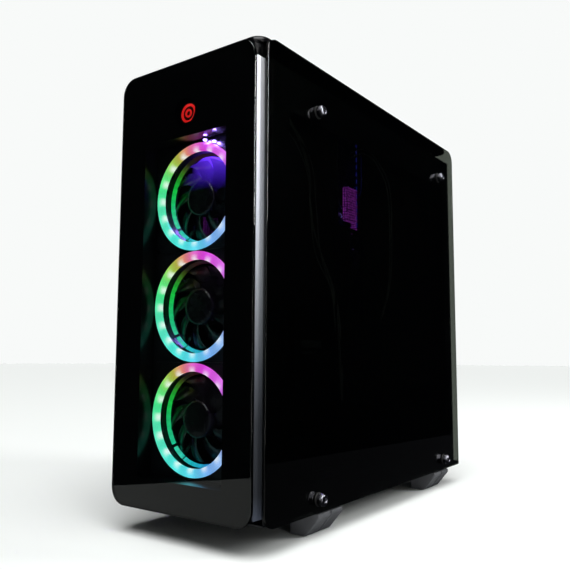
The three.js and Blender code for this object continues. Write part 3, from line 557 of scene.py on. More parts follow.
class Graph:
    """One material's nodes."""

    def __init__(self, name: str) -> None:
        """Starts an empty material with its output and a Principled shader.

        Args:
            name: the material's name.
        """
        self.material = bpy.data.materials.new(name)
        self.material.use_nodes = True
        self.tree = self.material.node_tree
        self.tree.nodes.clear()
        self.output = self.tree.nodes.new("ShaderNodeOutputMaterial")
        self.shader = self.add("BsdfPrincipled")
        self.tree.links.new(self.shader.outputs[0], self.output.inputs["Surface"])

    def add(self, kind: str, inputs: dict[str | int, Any] | None = None, **settings: Any) -> Node:
        """Adds one node.

        Args:
            kind: its type without the ShaderNode in front.
            inputs: values or sockets for its inputs, by name or number.
            settings: its own properties.

        Returns:
            The node.
        """
        node = self.tree.nodes.new("ShaderNode" + kind)
        for key, value in settings.items():
            setattr(node, key, value)
        self.set(node, inputs or {})
        return node

    def set(self, node: Node, inputs: dict[str | int, Any]) -> None:
        """Sets a node's inputs: a socket is linked, and anything else is its value.

        Args:
            node: the node.
            inputs: by name or number.
        """
        for key, value in inputs.items():
            if isinstance(value, NodeSocket):
                self.tree.links.new(value, node.inputs[key])
            else:
                node.inputs[key].default_value = value

    def place(self) -> NodeSocket:
        """Object coordinates, in metres in the row's frame."""
        return self.add("TexCoord").outputs["Object"]

    def noise(self, scale: float, detail: float = 2.0, vector: Any = None) -> NodeSocket:
        """Smooth noise from 0 to 1."""
        inputs = {"Vector": vector or self.place(), "Scale": scale, "Detail": detail}
        return self.add("TexNoise", inputs).outputs["Fac"]

    def range(self, value: Any, low: float, high: float, start: float = 0.0, end: float = 1.0) -> NodeSocket:
        """Maps start..end of a value to low..high, clamped."""
        node = self.add("MapRange",
                        {"Value": value, "From Min": start, "From Max": end, "To Min": low, "To Max": high})
        return node.outputs["Result"]

    def math(self, operation: str, a: Any, b: Any = 0.0) -> NodeSocket:
        """One arithmetic step."""
        return self.add("Math", {0: a, 1: b}, operation=operation).outputs[0]

    def blend(self, factor: Any, first: Any, second: Any) -> NodeSocket:
        """Goes from one colour to another.

        Args:
            factor: 0 gives the first, 1 the second.
            first, second: colours or sockets.

        Returns:
            The colour.
        """
        node = self.add("Mix", data_type="RGBA")
        self.set(node, {0: factor, 6: first, 7: second})
        return node.outputs[2]

    def ramp(self, factor: Any, stops: Sequence[tuple[float, str]]) -> NodeSocket:
        """A row of colours.

        Args:
            factor: the place along it.
            stops: positions and hex colours.

        Returns:
            The colour.
        """
        node = self.add("ValToRGB", {0: factor})
        line = node.color_ramp
        for k, (position, code) in enumerate(stops):
            stop = line.elements[k] if k < 2 else line.elements.new(position)
            stop.position = position
        for stop, (_, code) in zip(line.elements, sorted(stops)):
            stop.color = srgb(code)
        return node.outputs[0]

    def bump(self, height: Any, depth: float, strength: float = 1.0) -> None:
        """Raises the surface by a height from 0 to 1."""
        node = self.add("Bump", {"Height": height, "Distance": depth / 1000, "Strength": strength})
        self.set(self.shader, {"Normal": node.outputs[0]})


@dataclass(frozen=True)
class PowderCoat:
    """Steel with a powder coat: a fine orange peel, a little uneven in gloss, dust in its colour."""

    name: str = "black_powder_coated_steel"
    colour: str = "#17181a"
    dusty: str = "#222326"
    roughness: float = 0.5

    def build(self) -> Material:
        """Makes the material.

        Returns:
            The material.
        """
        g = Graph(self.name)
        peel = g.noise(900.0, 3.0)
        cloud = g.noise(22.0, 4.0)
        g.set(g.shader, {
            "Base Color": g.blend(g.range(cloud, 0, 1, 0.35, 0.7), srgb(self.colour), srgb(self.dusty)),
            "Roughness": g.range(peel, self.roughness - 0.08, self.roughness + 0.1, 0.3, 0.7),
            "IOR": 1.5,
        })
        g.bump(peel, 0.03, 0.5)
        return g.material


@dataclass(frozen=True)
class MouldedPlastic:
    """Moulded plastic with a spark-eroded grain."""

    name: str
    colour: str = "#101113"
    worn: str = "#1b1c1f"
    roughness: float = 0.42
    grain: float = 1400.0
    depth: float = 0.02
    specular: float = 0.5

    def build(self) -> Material:
        """Makes the material.

        Returns:
            The material.
        """
        g = Graph(self.name)
        pits = g.add("TexVoronoi", {"Vector": g.place(), "Scale": self.grain}).outputs["Distance"]
        cloud = g.noise(35.0, 3.0)
        g.set(g.shader, {
            "Base Color": g.blend(g.range(cloud, 0, 1, 0.35, 0.7), srgb(self.colour), srgb(self.worn)),
            "Roughness": g.range(cloud, self.roughness - 0.05, self.roughness + 0.07, 0.3, 0.7),
            "IOR": 1.49,
            "Specular IOR Level": self.specular,
        })
        g.bump(pits, self.depth, 0.6)
        return g.material


@dataclass(frozen=True)
class TemperedGlass:
    """Soda-lime glass with a tint, a little uneven, and a trace of haze from handling."""

    name: str
    tint: str

    def build(self) -> Material:
        """Makes the material.

        Returns:
            The material.
        """
        g = Graph(self.name)
        wave = g.noise(9.0, 1.0)
        g.set(g.shader, {
            "Base Color": g.blend(g.range(wave, 0.0, 0.05), srgb(self.tint), srgb("#000000")),
            "Roughness": g.range(g.noise(60.0, 2.0), 0.0, 0.015, 0.5, 0.8),
            "IOR": 1.52,
            "Transmission Weight": 1.0,
        })
        return g.material


@dataclass(frozen=True)
class GlassPaint:
    """Black ceramic paint fired onto the back of the glass."""

    name: str = "black_ceramic_paint"

    def build(self) -> Material:
        """Makes the material.

        Returns:
            The material.
        """
        g = Graph(self.name)
        cloud = g.noise(300.0, 3.0)
        g.set(g.shader, {
            "Base Color": g.blend(cloud, srgb("#030304"), srgb("#070708")),
            "Roughness": g.range(cloud, 0.5, 0.6),
            "Specular IOR Level": 0.05,
        })
        return g.material


@dataclass(frozen=True)
class SatinAluminium:
    """Anodised aluminium drawn lengthwise, with a painted reflection of the studio's light: pale at the top,
    darker toward the foot.
    """

    name: str = "satin_anodised_aluminium"

    def build(self) -> Material:
        """Makes the material.

        Returns:
            The material.
        """
        g = Graph(self.name)
        here = g.place()
        stretched = g.add("Mapping", {"Vector": here, "Scale": (2600.0, 2600.0, 9.0)}).outputs[0]
        lines = g.noise(1.0, 2.0, stretched)
        height = g.add("SeparateXYZ", {0: here}).outputs[2]
        # painted reflection: the base colour runs from pale at the top down to dark at the foot, standing in
        # for the studio's light on the strip
        fade = g.ramp(g.range(height, 0, 1, 0.038, 0.493), [
            (0.0, "#464c5a"), (0.05, "#2a2d33"), (0.2, "#34373d"), (0.3, "#565a62"), (0.4, "#7c8087"),
            (0.5, "#9a9ea6"), (0.62, "#b6bac3"), (0.8, "#ccced8"), (1.0, "#e2e4ea"),
        ])
        g.set(g.shader, {
            "Base Color": g.blend(g.range(lines, 0.0, 0.12), fade, srgb("#202228")),
            "Metallic": 0.35,
            "Roughness": g.range(lines, 0.42, 0.52),
        })
        g.bump(lines, 0.01, 0.3)
        return g.material


@dataclass(frozen=True)
class MilledMetal:
    """Metal with the fine rings or lines that machining leaves."""

    name: str
    colour: str
    shade: str
    roughness: float = 0.2
    grain: float = 1500.0

    def build(self) -> Material:
        """Makes the material.

        Returns:
            The material.
        """
        g = Graph(self.name)
        fine = g.noise(self.grain, 2.0)
        cloud = g.noise(80.0, 2.0)
        g.set(g.shader, {
            "Base Color": g.blend(cloud, srgb(self.colour), srgb(self.shade)),
            "Metallic": 1.0,
            "Roughness": g.range(fine, self.roughness - 0.05, self.roughness + 0.08),
        })
        g.bump(fine, 0.008, 0.35)
        return g.material


@dataclass(frozen=True)
class LitRingAndPaintedReflection:
    """Frosted acrylic lit from inside by small lamps round a ring, each a little brighter than between.
    Dimmer, with no white spots, it is also the painted reflection of the ring on the duct's wall.

    The colour goes with the clock angle, read from the piece's own UV map: u is the turn from twelve
    o'clock, clockwise as seen from the front, and v goes from 0 at the outer edge to 1 at the inner one.
    """

    name: str
    strength: float = 1.0
    lamps: int = 16
    gamma: float = 1.15
    fade: float = 1.0
    spots: float = 0.75

    def build(self) -> Material:
        """Makes the material.

        Returns:
            The material.
        """
        g = Graph(self.name)
        uv = g.add("UVMap", uv_map="clock").outputs[0]
        u, v, _ = g.add("SeparateXYZ", {0: uv}).outputs
        colour = g.ramp(u, [
            (0.0, "#f26fd4"), (0.045, "#f04fee"), (0.12, "#f07cf8"), (0.25, "#c98cff"), (0.36, "#aecdff"),
            (0.43, "#86bcff"), (0.5, "#6fe9ff"), (0.58, "#62f8f0"), (0.66, "#6cf8d8"), (0.74, "#6af8c4"),
            (0.79, "#5cf8a4"), (0.84, "#7cf490"), (0.88, "#b4e46a"), (0.92, "#cbbd58"), (0.955, "#f69a86"),
            (1.0, "#f26fd4"),
        ])
        near = g.math("COSINE", g.math("MULTIPLY", u, 2 * math.pi * self.lamps))
        colour = g.add("Gamma", {"Color": colour, "Gamma": self.gamma}).outputs[0]
        late = g.range(u, self.strength, self.strength * self.fade, 0.8, 0.92)
        early = g.range(u, self.fade, 1.0, 0.3, 0.45)
        level = g.math("MULTIPLY", g.range(near, 0.9, 1.1, -1.0, 1.0), g.math("MULTIPLY", early, late))
        white = g.math("MULTIPLY", g.range(near, 0.0, self.spots, -0.2, 1.0), g.range(v, 0.04, 1.0, 0.3, 1.0))
        g.set(g.shader, {
            "Base Color": g.blend(0.5, srgb("#202226"), srgb("#34373c")),
            "Roughness": g.range(g.noise(500.0), 0.35, 0.5),
            "IOR": 1.49,
            "Emission Color": g.blend(white, colour, srgb("#ffffff")),
            "Emission Strength": level,
        })
        return g.material


@dataclass(frozen=True)
class Glow:
    """A small lamp behind a clear cover, uneven along its length."""

    name: str
    colour: str
    strength: float
    white: float = 0.25

    def build(self) -> Material:
        """Makes the material.

        Returns:
            The material.
        """
        g = Graph(self.name)
        spot = g.noise(70.0, 1.0)
        g.set(g.shader, {
            "Base Color": g.blend(g.range(spot, 0.0, self.white), srgb("#101012"), srgb(self.colour)),
            "Roughness": g.range(spot, 0.3, 0.5),
            "Emission Color": g.blend(g.range(spot, 0.0, self.white), srgb(self.colour), srgb("#ffffff")),
            "Emission Strength": g.range(spot, self.strength * 0.7, self.strength * 1.3),
        })
        return g.material


@dataclass(frozen=True)
class GuideGlowAndPaintedLight:
    """Smoked acrylic glowing violet, brightest up and to the right, gone by the hub: a light guide lit from
    its top edge, and on the top fan's blades painted violet light from the lamps above.
    """

    name: str
    strength: float

    def build(self) -> Material:
        """Makes the material.

        Returns:
            The material.
        """
        g = Graph(self.name)
        x, _, z = g.add("SeparateXYZ", {0: g.place()}).outputs
        # brighter upwards and to the right; on the top fan's blades this is painted violet light
        up = g.range(z, 0.0, 1.0, 0.372, 0.416)
        over = g.range(x, 0.0, 1.0, -0.034, 0.004)
        level = g.math("MULTIPLY", g.math("MULTIPLY", up, over), g.range(g.noise(40.0), 0.8, 1.2))
        g.set(g.shader, {
            "Base Color": g.blend(up, srgb("#101014"), srgb("#1c1a2a")),
            "Roughness": g.range(g.noise(400.0), 0.2, 0.3),
            "IOR": 1.49,
            "Emission Color": g.blend(up, srgb("#3410c0"), srgb("#6a34ff")),
            "Emission Strength": g.math("MULTIPLY", level, self.strength),
        })
        return g.material


@dataclass(frozen=True)
class LitGrid:
    """A perforated cover with light behind it: bright dots on a dark sheet, 3.2 mm apart."""

    name: str
    colour: str
    sheet: str
    strength: float

    def build(self) -> Material:
        """Makes the material.

        Returns:
            The material.
        """
        g = Graph(self.name)
        dots = g.add("TexVoronoi",
                     {"Vector": g.place(), "Scale": 310.0, "Randomness": 0.25}).outputs["Distance"]
        lit = g.range(dots, 1.0, 0.12, 0.25, 0.5)
        g.set(g.shader, {
            "Base Color": g.blend(lit, srgb(self.sheet), srgb(self.colour)),
            "Roughness": g.range(lit, 0.5, 0.3),
            "Emission Color": g.blend(lit, srgb(self.colour), srgb("#cc50ec")),
            "Emission Strength": g.math("MULTIPLY", lit, self.strength),
        })
        return g.material


@dataclass(frozen=True)
class CircuitBoard:
    """Matt black solder mask over copper traces, with rows of tinned pads."""

    name: str = "black_circuit_board"

    def build(self) -> Material:
        """Makes the material.

        Returns:
            The material.
        """
        g = Graph(self.name)
        here = g.place()
        lanes = g.add("TexBrick", {
            "Vector": g.add("Mapping", {"Vector": here, "Rotation": (0.0, math.pi / 2, 0.0)}).outputs[0],
            "Scale": 130.0, "Mortar Size": 0.06, "Mortar Smooth": 0.4, "Color1": (0, 0, 0, 1),
            "Color2": (0.15, 0.15, 0.15, 1), "Mortar": (1, 1, 1, 1),
        }).outputs["Fac"]
        dots = g.add("TexVoronoi", {"Vector": here, "Scale": 260.0}).outputs["Distance"]
        pad = g.range(dots, 1.0, 0.0, 0.1, 0.16)
        region = g.range(g.noise(45.0, 2.0), 0.0, 1.0, 0.56, 0.6)
        metal = g.math("MULTIPLY", pad, region)
        mask = g.blend(lanes, srgb("#0c0f0e"), srgb("#1b2220"))
        g.set(g.shader, {
            "Base Color": g.blend(metal, mask, srgb("#b9b4a4")),
            "Metallic": metal,
            "Roughness": g.range(metal, 0.5, 0.3),
        })
        g.bump(g.math("MAXIMUM", lanes, pad), 0.04, 0.6)
        return g.material


@dataclass(frozen=True)
class WovenMesh:
    """Fine woven mesh: square holes between round threads."""

    name: str = "black_nylon_mesh"
    pitch: float = 1.0

    def build(self) -> Material:
        """Makes the material.

        Returns:
            The material.
        """
        g = Graph(self.name)
        x, y, _ = g.add("SeparateXYZ", {0: g.place()}).outputs
        turn = 2 * math.pi * 1000 / self.pitch
        warp = g.math("ABSOLUTE", g.math("SINE", g.math("MULTIPLY", x, turn / 2)))
        weft = g.math("ABSOLUTE", g.math("SINE", g.math("MULTIPLY", y, turn / 2)))
        thread = g.math("MAXIMUM", warp, weft)
        g.set(g.shader, {
            "Base Color": g.blend(g.range(thread, 0, 1, 0.75, 0.92), srgb("#020202"), srgb("#26272a")),
            "Roughness": g.range(g.noise(300.0), 0.55, 0.7),
        })
        g.bump(thread, 0.2, 0.8)
        return g.material


@dataclass(frozen=True)
class BraidedSleeve:
    """Braided cable sleeve: two families of strands crossing."""

    name: str
    colour: str = "#0c0c0d"
    strand: str = "#26262a"

    def build(self) -> Material:
        """Makes the material.

        Returns:
            The material.
        """
        g = Graph(self.name)
        x, y, z = g.add("SeparateXYZ", {0: g.place()}).outputs
        along = g.math("ADD", y, z)
        one = g.math("SINE", g.math("MULTIPLY", g.math("ADD", along, x), 3200.0))
        two = g.math("SINE", g.math("MULTIPLY", g.math("SUBTRACT", along, x), 3200.0))
        weave = g.range(g.math("MULTIPLY", one, two), 0, 1, -1, 1)
        g.set(g.shader, {
            "Base Color": g.blend(weave, srgb(self.colour), srgb(self.strand)),
            "Roughness": g.range(weave, 0.75, 0.5),
        })
        g.bump(weave, 0.15, 0.7)
        return g.material


@dataclass(frozen=True)
class Label:
    """A plain printed label: pale paper with a darker field, slightly worn."""

    name: str
    paper: str
    wear: str

    def build(self) -> Material:
        """Makes the material.

        Returns:
            The material.
        """
        g = Graph(self.name)
        worn = g.noise(120.0, 4.0)
        g.set(g.shader, {
            "Base Color": g.blend(g.range(worn, 0.0, 0.5, 0.5, 0.8), srgb(self.paper), srgb(self.wear)),
            "Roughness": g.range(worn, 0.4, 0.6),
        })
        g.bump(worn, 0.02, 0.3)
        return g.material


class Finish(Enum):
    """Every finish of the tower."""

    STEEL = PowderCoat()
    SHELL = MouldedPlastic("black_moulded_plastic")
    GLOSS = MouldedPlastic("gloss_black_plastic", "#040405", "#08080a", 0.2, 500.0, 0.003, 0.26)
    SMOKE = MouldedPlastic("smoked_blade_plastic", "#121216", "#1b1b21", 0.26, 900.0, 0.01, 0.35)
    DARK_FIN = MilledMetal("black_anodised_aluminium", "#2b2c30", "#202125", 0.34)
    LENS = Glow("violet_lens", "#7a35ff", 260.0)
    MEMORY_LIGHT = LitGrid("magenta_lit_mesh", "#a816d0", "#1c0626", 2.0)
    GUIDE = GuideGlowAndPaintedLight("violet_light_guide", 3.2)
    # the top fan's blades: painted violet light from the lamps above them, brightest up and to the right
    LIT_BLADE = GuideGlowAndPaintedLight("violet_lit_blade_plastic", 1.4)
    WIRE = BraidedSleeve("grey_wire_sleeve", "#e2e4e8", "#ffffff")
    FAN = MouldedPlastic("black_fan_plastic", "#0e0f12", "#191b20", 0.3, 900.0, 0.01)
    FOOT = MouldedPlastic("grey_foot_plastic", "#505154", "#5e5f63", 0.34, 1100.0, 0.02)
    FRONT_GLASS = TemperedGlass("clear_tempered_glass", "#e6eeea")
    SIDE_GLASS = TemperedGlass("tinted_tempered_glass", "#5c615a")
    PAINT = GlassPaint()
    STRIP = SatinAluminium()
    CHROME = MilledMetal("polished_dark_chrome", "#9a9aa2", "#74747c", 0.12)
    RING = LitRingAndPaintedReflection("lit_ring_acrylic", 1.15)
    # painted reflection of the lit ring on the duct's wall: a dim glow with no white spots
    HALO = LitRingAndPaintedReflection("lit_rear_ring_acrylic", 0.7, 40, 2.3, 0.04, 0.0)
    BADGE = Glow("red_lit_badge", "#f01512", 0.95, 0.02)
    BOARD = CircuitBoard()
    FIN = MilledMetal("mill_finish_aluminium", "#a7a9ad", "#8d8f94", 0.32)
    NICKEL = MilledMetal("nickel_plate", "#c8c6c0", "#aeaca6", 0.2)
    MEMORY = MilledMetal("violet_anodised_aluminium", "#5a3d78", "#3b2852", 0.35)
    MESH = WovenMesh()
    SLEEVE = BraidedSleeve("black_braided_sleeve")
    LABEL = Label("plain_grey_label", "#8d9093", "#6c6e70")
    VIOLET = Glow("violet_lamp", "#7a3cff", 480.0)
    BLUE = Glow("blue_lamp", "#2a30ff", 0.8, 0.05)
    BLUE_FIBRE = Glow("blue_light_fibre", "#2026c8", 0.4, 0.0)
    RUBBER = MouldedPlastic("soft_black_rubber", "#0b0b0b", "#141414", 0.7, 700.0, 0.02)
    GOLD = MilledMetal("gold_plated_contacts", "#d9b25a", "#c09a45", 0.25)

    @cache
    def material(self) -> Material:
        """The finish's material, which is made once."""
        return self.value.build()


# ---- Glass, its screws and the strips ----


@dataclass
class FrontGlass:
    """The front pane, painted black at the back except round the fans and the badge."""

    half: float = 98.5
    low: float = 30.0
    high: float = 510.5
    thick: float = 4.0
    corner: float = 19.0
    window: tuple[float, float, float, float] = (-60.0, 60.0, 62.0, 426.0)
    badge: tuple[float, float] = (453.5, 15.5)

    def build(self) -> None:
        """Makes the pane and its paint."""
        radii = [self.corner] * 4
        extent = (-self.half, self.half, self.low, self.high)
        loops = slab_loops(extent, radii, eased(0.0, self.thick, 1.1), Axis.Y)
        Surface().loft(loops).piece("front_glass_pane", Finish.FRONT_GLASS, "front_glass", ["front_glass"])
        self.paint()

    def paint(self) -> None:
        """Makes the paint: two closed sheets with a hole each, meeting between window and badge."""
        back, front = self.thick + 0.22, self.thick + 0.04
        x0, x1, z0, z1 = self.window
        seam = (z1 + self.badge[0] - self.badge[1]) / 2
        inset = 0.6
        half, low, high = self.half - inset, self.low + inset, self.high - inset
        corner = self.corner - inset
        steps = 12
        lower_out = rounded_loop(-half, half, low, seam, (corner, corner, 0, 0), steps)
        lower_in = rounded_loop(x0, x1, z0, z1, (0.5,) * 4, steps)
        upper_out = rounded_loop(-half, half, seam, high, (0, 0, corner, corner), steps)
        turn = np.linspace(1.25, 3.25, 4 * steps, endpoint=False) * np.pi
        upper_in = np.column_stack([np.cos(turn), np.sin(turn)]) * self.badge[1] + (0.0, self.badge[0])
        surface = Surface()
        for outer, inner in ((lower_out, lower_in), (upper_out, upper_in)):
            rings = [(outer, front), (outer, back), (inner, back), (inner, front)]
            loops = [np.column_stack([r[:, 0], np.full(len(r), y), r[:, 1]]) for r, y in rings]
            surface.loft(np.stack(loops), ends=False)
        surface.piece("front_glass_paint", Finish.PAINT, "front_glass")


@dataclass
class SidePanel:
    """A tinted side pane with polished edges, held by four thumbscrews."""

    side: Side
    front: float = 15.2
    rear: float = 501.5
    low: float = 27.2
    high: float = 516.0
    inner: float = 99.0
    outer: float = 103.0
    radii: tuple[float, float, float, float] = (17.0, 2.5, 16.0, 17.0)
    screws: dict[str, tuple[float, float]] = field(default_factory=lambda: {
        "front_low": (107.0, 42.0), "front_high": (107.0, 462.0),
        "rear_low": (441.0, 42.0), "rear_high": (441.0, 462.0),
    })

    @property
    def label(self) -> str:
        """The side's word in names."""
        return self.side.name.lower()

    @property
    def body(self) -> str:
        """The body that the pane and its screws move with."""
        return f"{self.label}_panel"

    def build(self) -> None:
        """Makes the pane and its screws."""
        x0, x1 = sorted((self.side.value * self.inner, self.side.value * self.outer))
        extent = (self.front, self.rear, self.low, self.high)
        loops = slab_loops(extent, self.radii, eased(x0, x1, 1.0), Axis.X)
        Surface().loft(loops).piece(
            f"side_glass_{self.label}_pane", Finish.SIDE_GLASS, "side_glass", [f"side_glass_{self.label}"],
            body=self.body
        )
        for corner, (y, z) in self.screws.items():
            self.screw(corner, y, z)

    def screw(self, corner: str, y: float, z: float) -> None:
        """Makes one thumbscrew: a rubber washer, a fluted head with a turned face, and its shank.

        Args:
            corner: which screw.
            y, z: its place.
        """
        s = self.side.value
        head = [
            (0, 0.9), (5.4, 0.9), (5.6, 2.1), (6.35, 2.6), (6.5, 3.4), (6.5, 7.6), (6.2, 8.4), (5.5, 9.1),
            (4.6, 9.45), (3.3, 9.3), (2.7, 8.7), (2.5, 7.6), (0, 7.2),
        ]
        name = f"thumbscrew_{self.label}_{corner}"
        centre = (s * self.outer, y, z)
        surface = Surface().turned([(r, s * a) for r, a in head], centre, Axis.X, 96, 0.018, 32)
        shank = [(0, -9.4), (1.6, -9.4), (2.0, -8.9), (2.0, 1.2), (0, 1.2)]
        surface.turned([(r, s * a) for r, a in shank], centre, Axis.X, 24)
        surface.piece(f"{name}_metal", Finish.CHROME, "screw_metal", [name], body=self.body)
        washer = [(2.2, 0.32), (7.2, 0.32), (7.4, 0.7), (7.0, 1.5), (5.9, 1.75), (2.2, 1.75)]
        ring = Surface().turned([(r, s * a) for r, a in washer], centre, Axis.X, 48)
        ring.piece(f"{name}_washer", Finish.RUBBER, "screw_metal", body=self.body)


@dataclass
class CornerStrip:
    """A drawn aluminium strip between front and side glass, with a bead along its rear edge."""

    side: Side
    low: float = 38.0
    high: float = 493.0
    back: float = 95.3
    face: float = 97.0
    front: float = 5.5
    rear: float = 19.7

    def build(self) -> None:
        """Makes the strip as one loft from foot to top, drawn in at both ends."""
        turn = np.linspace(0, np.pi, 7)
        bead = np.column_stack([self.face + 0.5 * np.sin(turn), self.rear - 1.9 - 0.9 * np.cos(turn)])
        section = np.vstack([
            [[self.back, self.front], [self.face - 0.7, self.front], [self.face - 0.2, self.front + 0.3],
             [self.face, self.front + 0.8], [self.face, self.front + 1.1], [self.face, self.rear - 3.4]],
            bead,
            [[self.face - 0.2, self.rear - 0.3], [self.face - 0.6, self.rear], [self.back, self.rear]],
        ])
        section[:, 0] *= self.side.value
        centre = section.mean(axis=0)
        levels = [(self.low, 0.86), (self.low + 0.4, 1.0), (self.high - 0.4, 1.0), (self.high, 0.86)]
        loops = [
            np.column_stack([centre + (section - centre) * s, np.full(len(section), z)]) for z, s in levels
        ]
        label = self.side.name.lower()
        Surface().loft(np.stack(loops)).piece(
            f"corner_strip_{label}_metal", Finish.STRIP, "strip_aluminium", [f"corner_strip_{label}"]
        )


@dataclass
class Badge:
    """A lit plain ring in its well behind the front glass."""

    z: float = 453.5

    def build(self) -> None:
        """Makes the lit ring and the dark disc inside it."""
        centre = (0.0, 0.0, self.z)
        lit = [(8.0, 10.0), (8.3, 9.85), (10.2, 9.8), (10.6, 10.0), (10.6, 11.1), (8.0, 11.1)]
        ring = Surface().turned(lit, centre, Axis.Y, 72)
        ring.turned([(2.6, 10.0), (2.9, 9.85), (4.4, 9.85), (4.7, 10.0), (4.7, 11.1), (2.6, 11.1)], centre,
                    Axis.Y, 48)
        ring.piece("badge_lit_ring", Finish.BADGE, "badge_plastic", ["front_badge"])
        plate = [(0, 10.7), (7.6, 10.7), (7.9, 10.9), (13, 10.9), (13, 11.2), (0, 11.2)]
        Surface().turned(plate, centre, Axis.Y, 48).piece("badge_plate", Finish.SHELL, "badge_plastic")


# ---- Front fans ----


def duct_frame(half: float, bore: float, deep: float, struts_at_rear: bool) -> Surface:
    """A square fan frame about the Y axis: its outline, the front flange, the duct, a waist and four struts.

    Args:
        half: half its width.
        bore: the duct's radius.
        deep: its depth; the front is at y = 0.
        struts_at_rear: where the motor stands.

    Returns:
        The surface.
    """
    outer = evenly(rounded_loop(-half, half, -half, half, (5.0,) * 4, 16), 144)
    turn = np.arctan2(outer[:, 1], outer[:, 0])
    circle = np.column_stack([np.cos(turn), np.sin(turn)])
    waist = np.minimum(np.abs(outer), half - 3.5) * np.sign(outer)
    rings = [
        (outer, 0.6), (outer * 0.995, 0.02), (circle * (bore + 1.0), 0.02), (circle * bore, 1.0),
        (circle * bore, deep - 1.5), (circle * min(bore + 2.0, half - 1.2), deep - 0.02),
        (outer * 0.995, deep - 0.02), (outer, deep - 0.6), (outer, deep - 4.0), (waist, deep - 4.6),
        (waist, 4.6),
        (outer, 4.0),
    ]
    loops = np.stack([np.column_stack([r[:, 0], np.full(len(r), y), r[:, 1]]) for r, y in rings])
    surface = Surface().loft(loops, ends=False)
    stand = deep - 3.6 if struts_at_rear else 0.4
    surface.turned([(0, stand), (18.6, stand), (19.4, stand + 0.8), (19.4, stand + 3.2), (0, stand + 3.2)],
                   (0, 0, 0), Axis.Y, 48)
    along = np.array([0.0, stand + 1.6, 0.0])
    for k in range(4):
        angle = math.pi / 4 + k * math.pi / 2 + 0.12
        radial = np.array([math.cos(angle), 0.0, math.sin(angle)])
        across = np.array([-math.sin(angle), 0.0, math.cos(angle)])
        section = [(-1.7, -1.4), (1.7, -1.4), (1.2, 1.3), (-1.2, 1.3)]
        reach = (18.0, 36.0, bore + 0.6)
        strut = [[along + radial * r + across * a + (0, d, 0) for a, d in section] for r in reach]
        surface.loft(np.array(strut))
    return surface


def swept_rotor(hub: float, tip: float, blades: int, half: float, setback: float) -> Surface:
    """A fan wheel about the Y axis: a domed hub and blades as twisted, tapered aerofoils.

    A blade point at share r from root to tip and chord share c lies at radius root + r * (tip - root), at
    an angle that grows with r (its sweep), and its depth falls with c by the blade's pitch.

    Args:
        hub: the hub's radius.
        tip: the blades' outer radius.
        blades: how many.
        half: half the wheel's depth.
        setback: how far the blades stand behind the middle.

    Returns:
        The surface.
    """
    dome = [(0, -half), (hub * 0.6, -half + 0.1), (hub * 0.85, -half + 0.6), (hub * 0.97, -half + 1.8),
            (hub, -half * 0.5), (hub, half), (0, half)]
    surface = Surface().turned(dome, (0, 0, 0), Axis.Y, 72)
    groove = [(hub * 0.41, -half), (hub * 0.42, -half - 0.01), (hub * 0.44, -half + 0.3),
              (hub * 0.41, -half + 0.3)]
    surface.turned(groove, (0, 0, 0), Axis.Y, 48)
    r = np.linspace(0, 1, 10)[:, None]
    chord = np.linspace(-0.5, 0.5, 9)
    loop = np.concatenate([chord, chord[::-1][1:-1]])[None, :]
    upper = np.concatenate([np.ones(9), -np.ones(7)])[None, :]
    thick = 0.75 * np.sqrt(np.clip(1 - (2 * loop) ** 2, 0, 1)) * (1.2 - 0.5 * r)
    radius = hub - 1.5 + r * (tip - hub + 1.5)
    width = (15 + 12 * r) * (9 / blades) ** 0.5 * (tip / 49)
    pitch = np.radians(38 - 14 * r)
    for k in range(blades):
        angle = k * 2 * np.pi / blades + 0.45 * r**1.5 + width * loop * np.cos(pitch) / radius
        depth = setback - width * loop * np.sin(pitch) * 0.72 + upper * thick
        depth = np.clip(depth, -half + 0.2, half - 0.2)
        surface.loft(np.stack([radius * np.cos(angle), depth, radius * np.sin(angle)], axis=-1))
    return surface


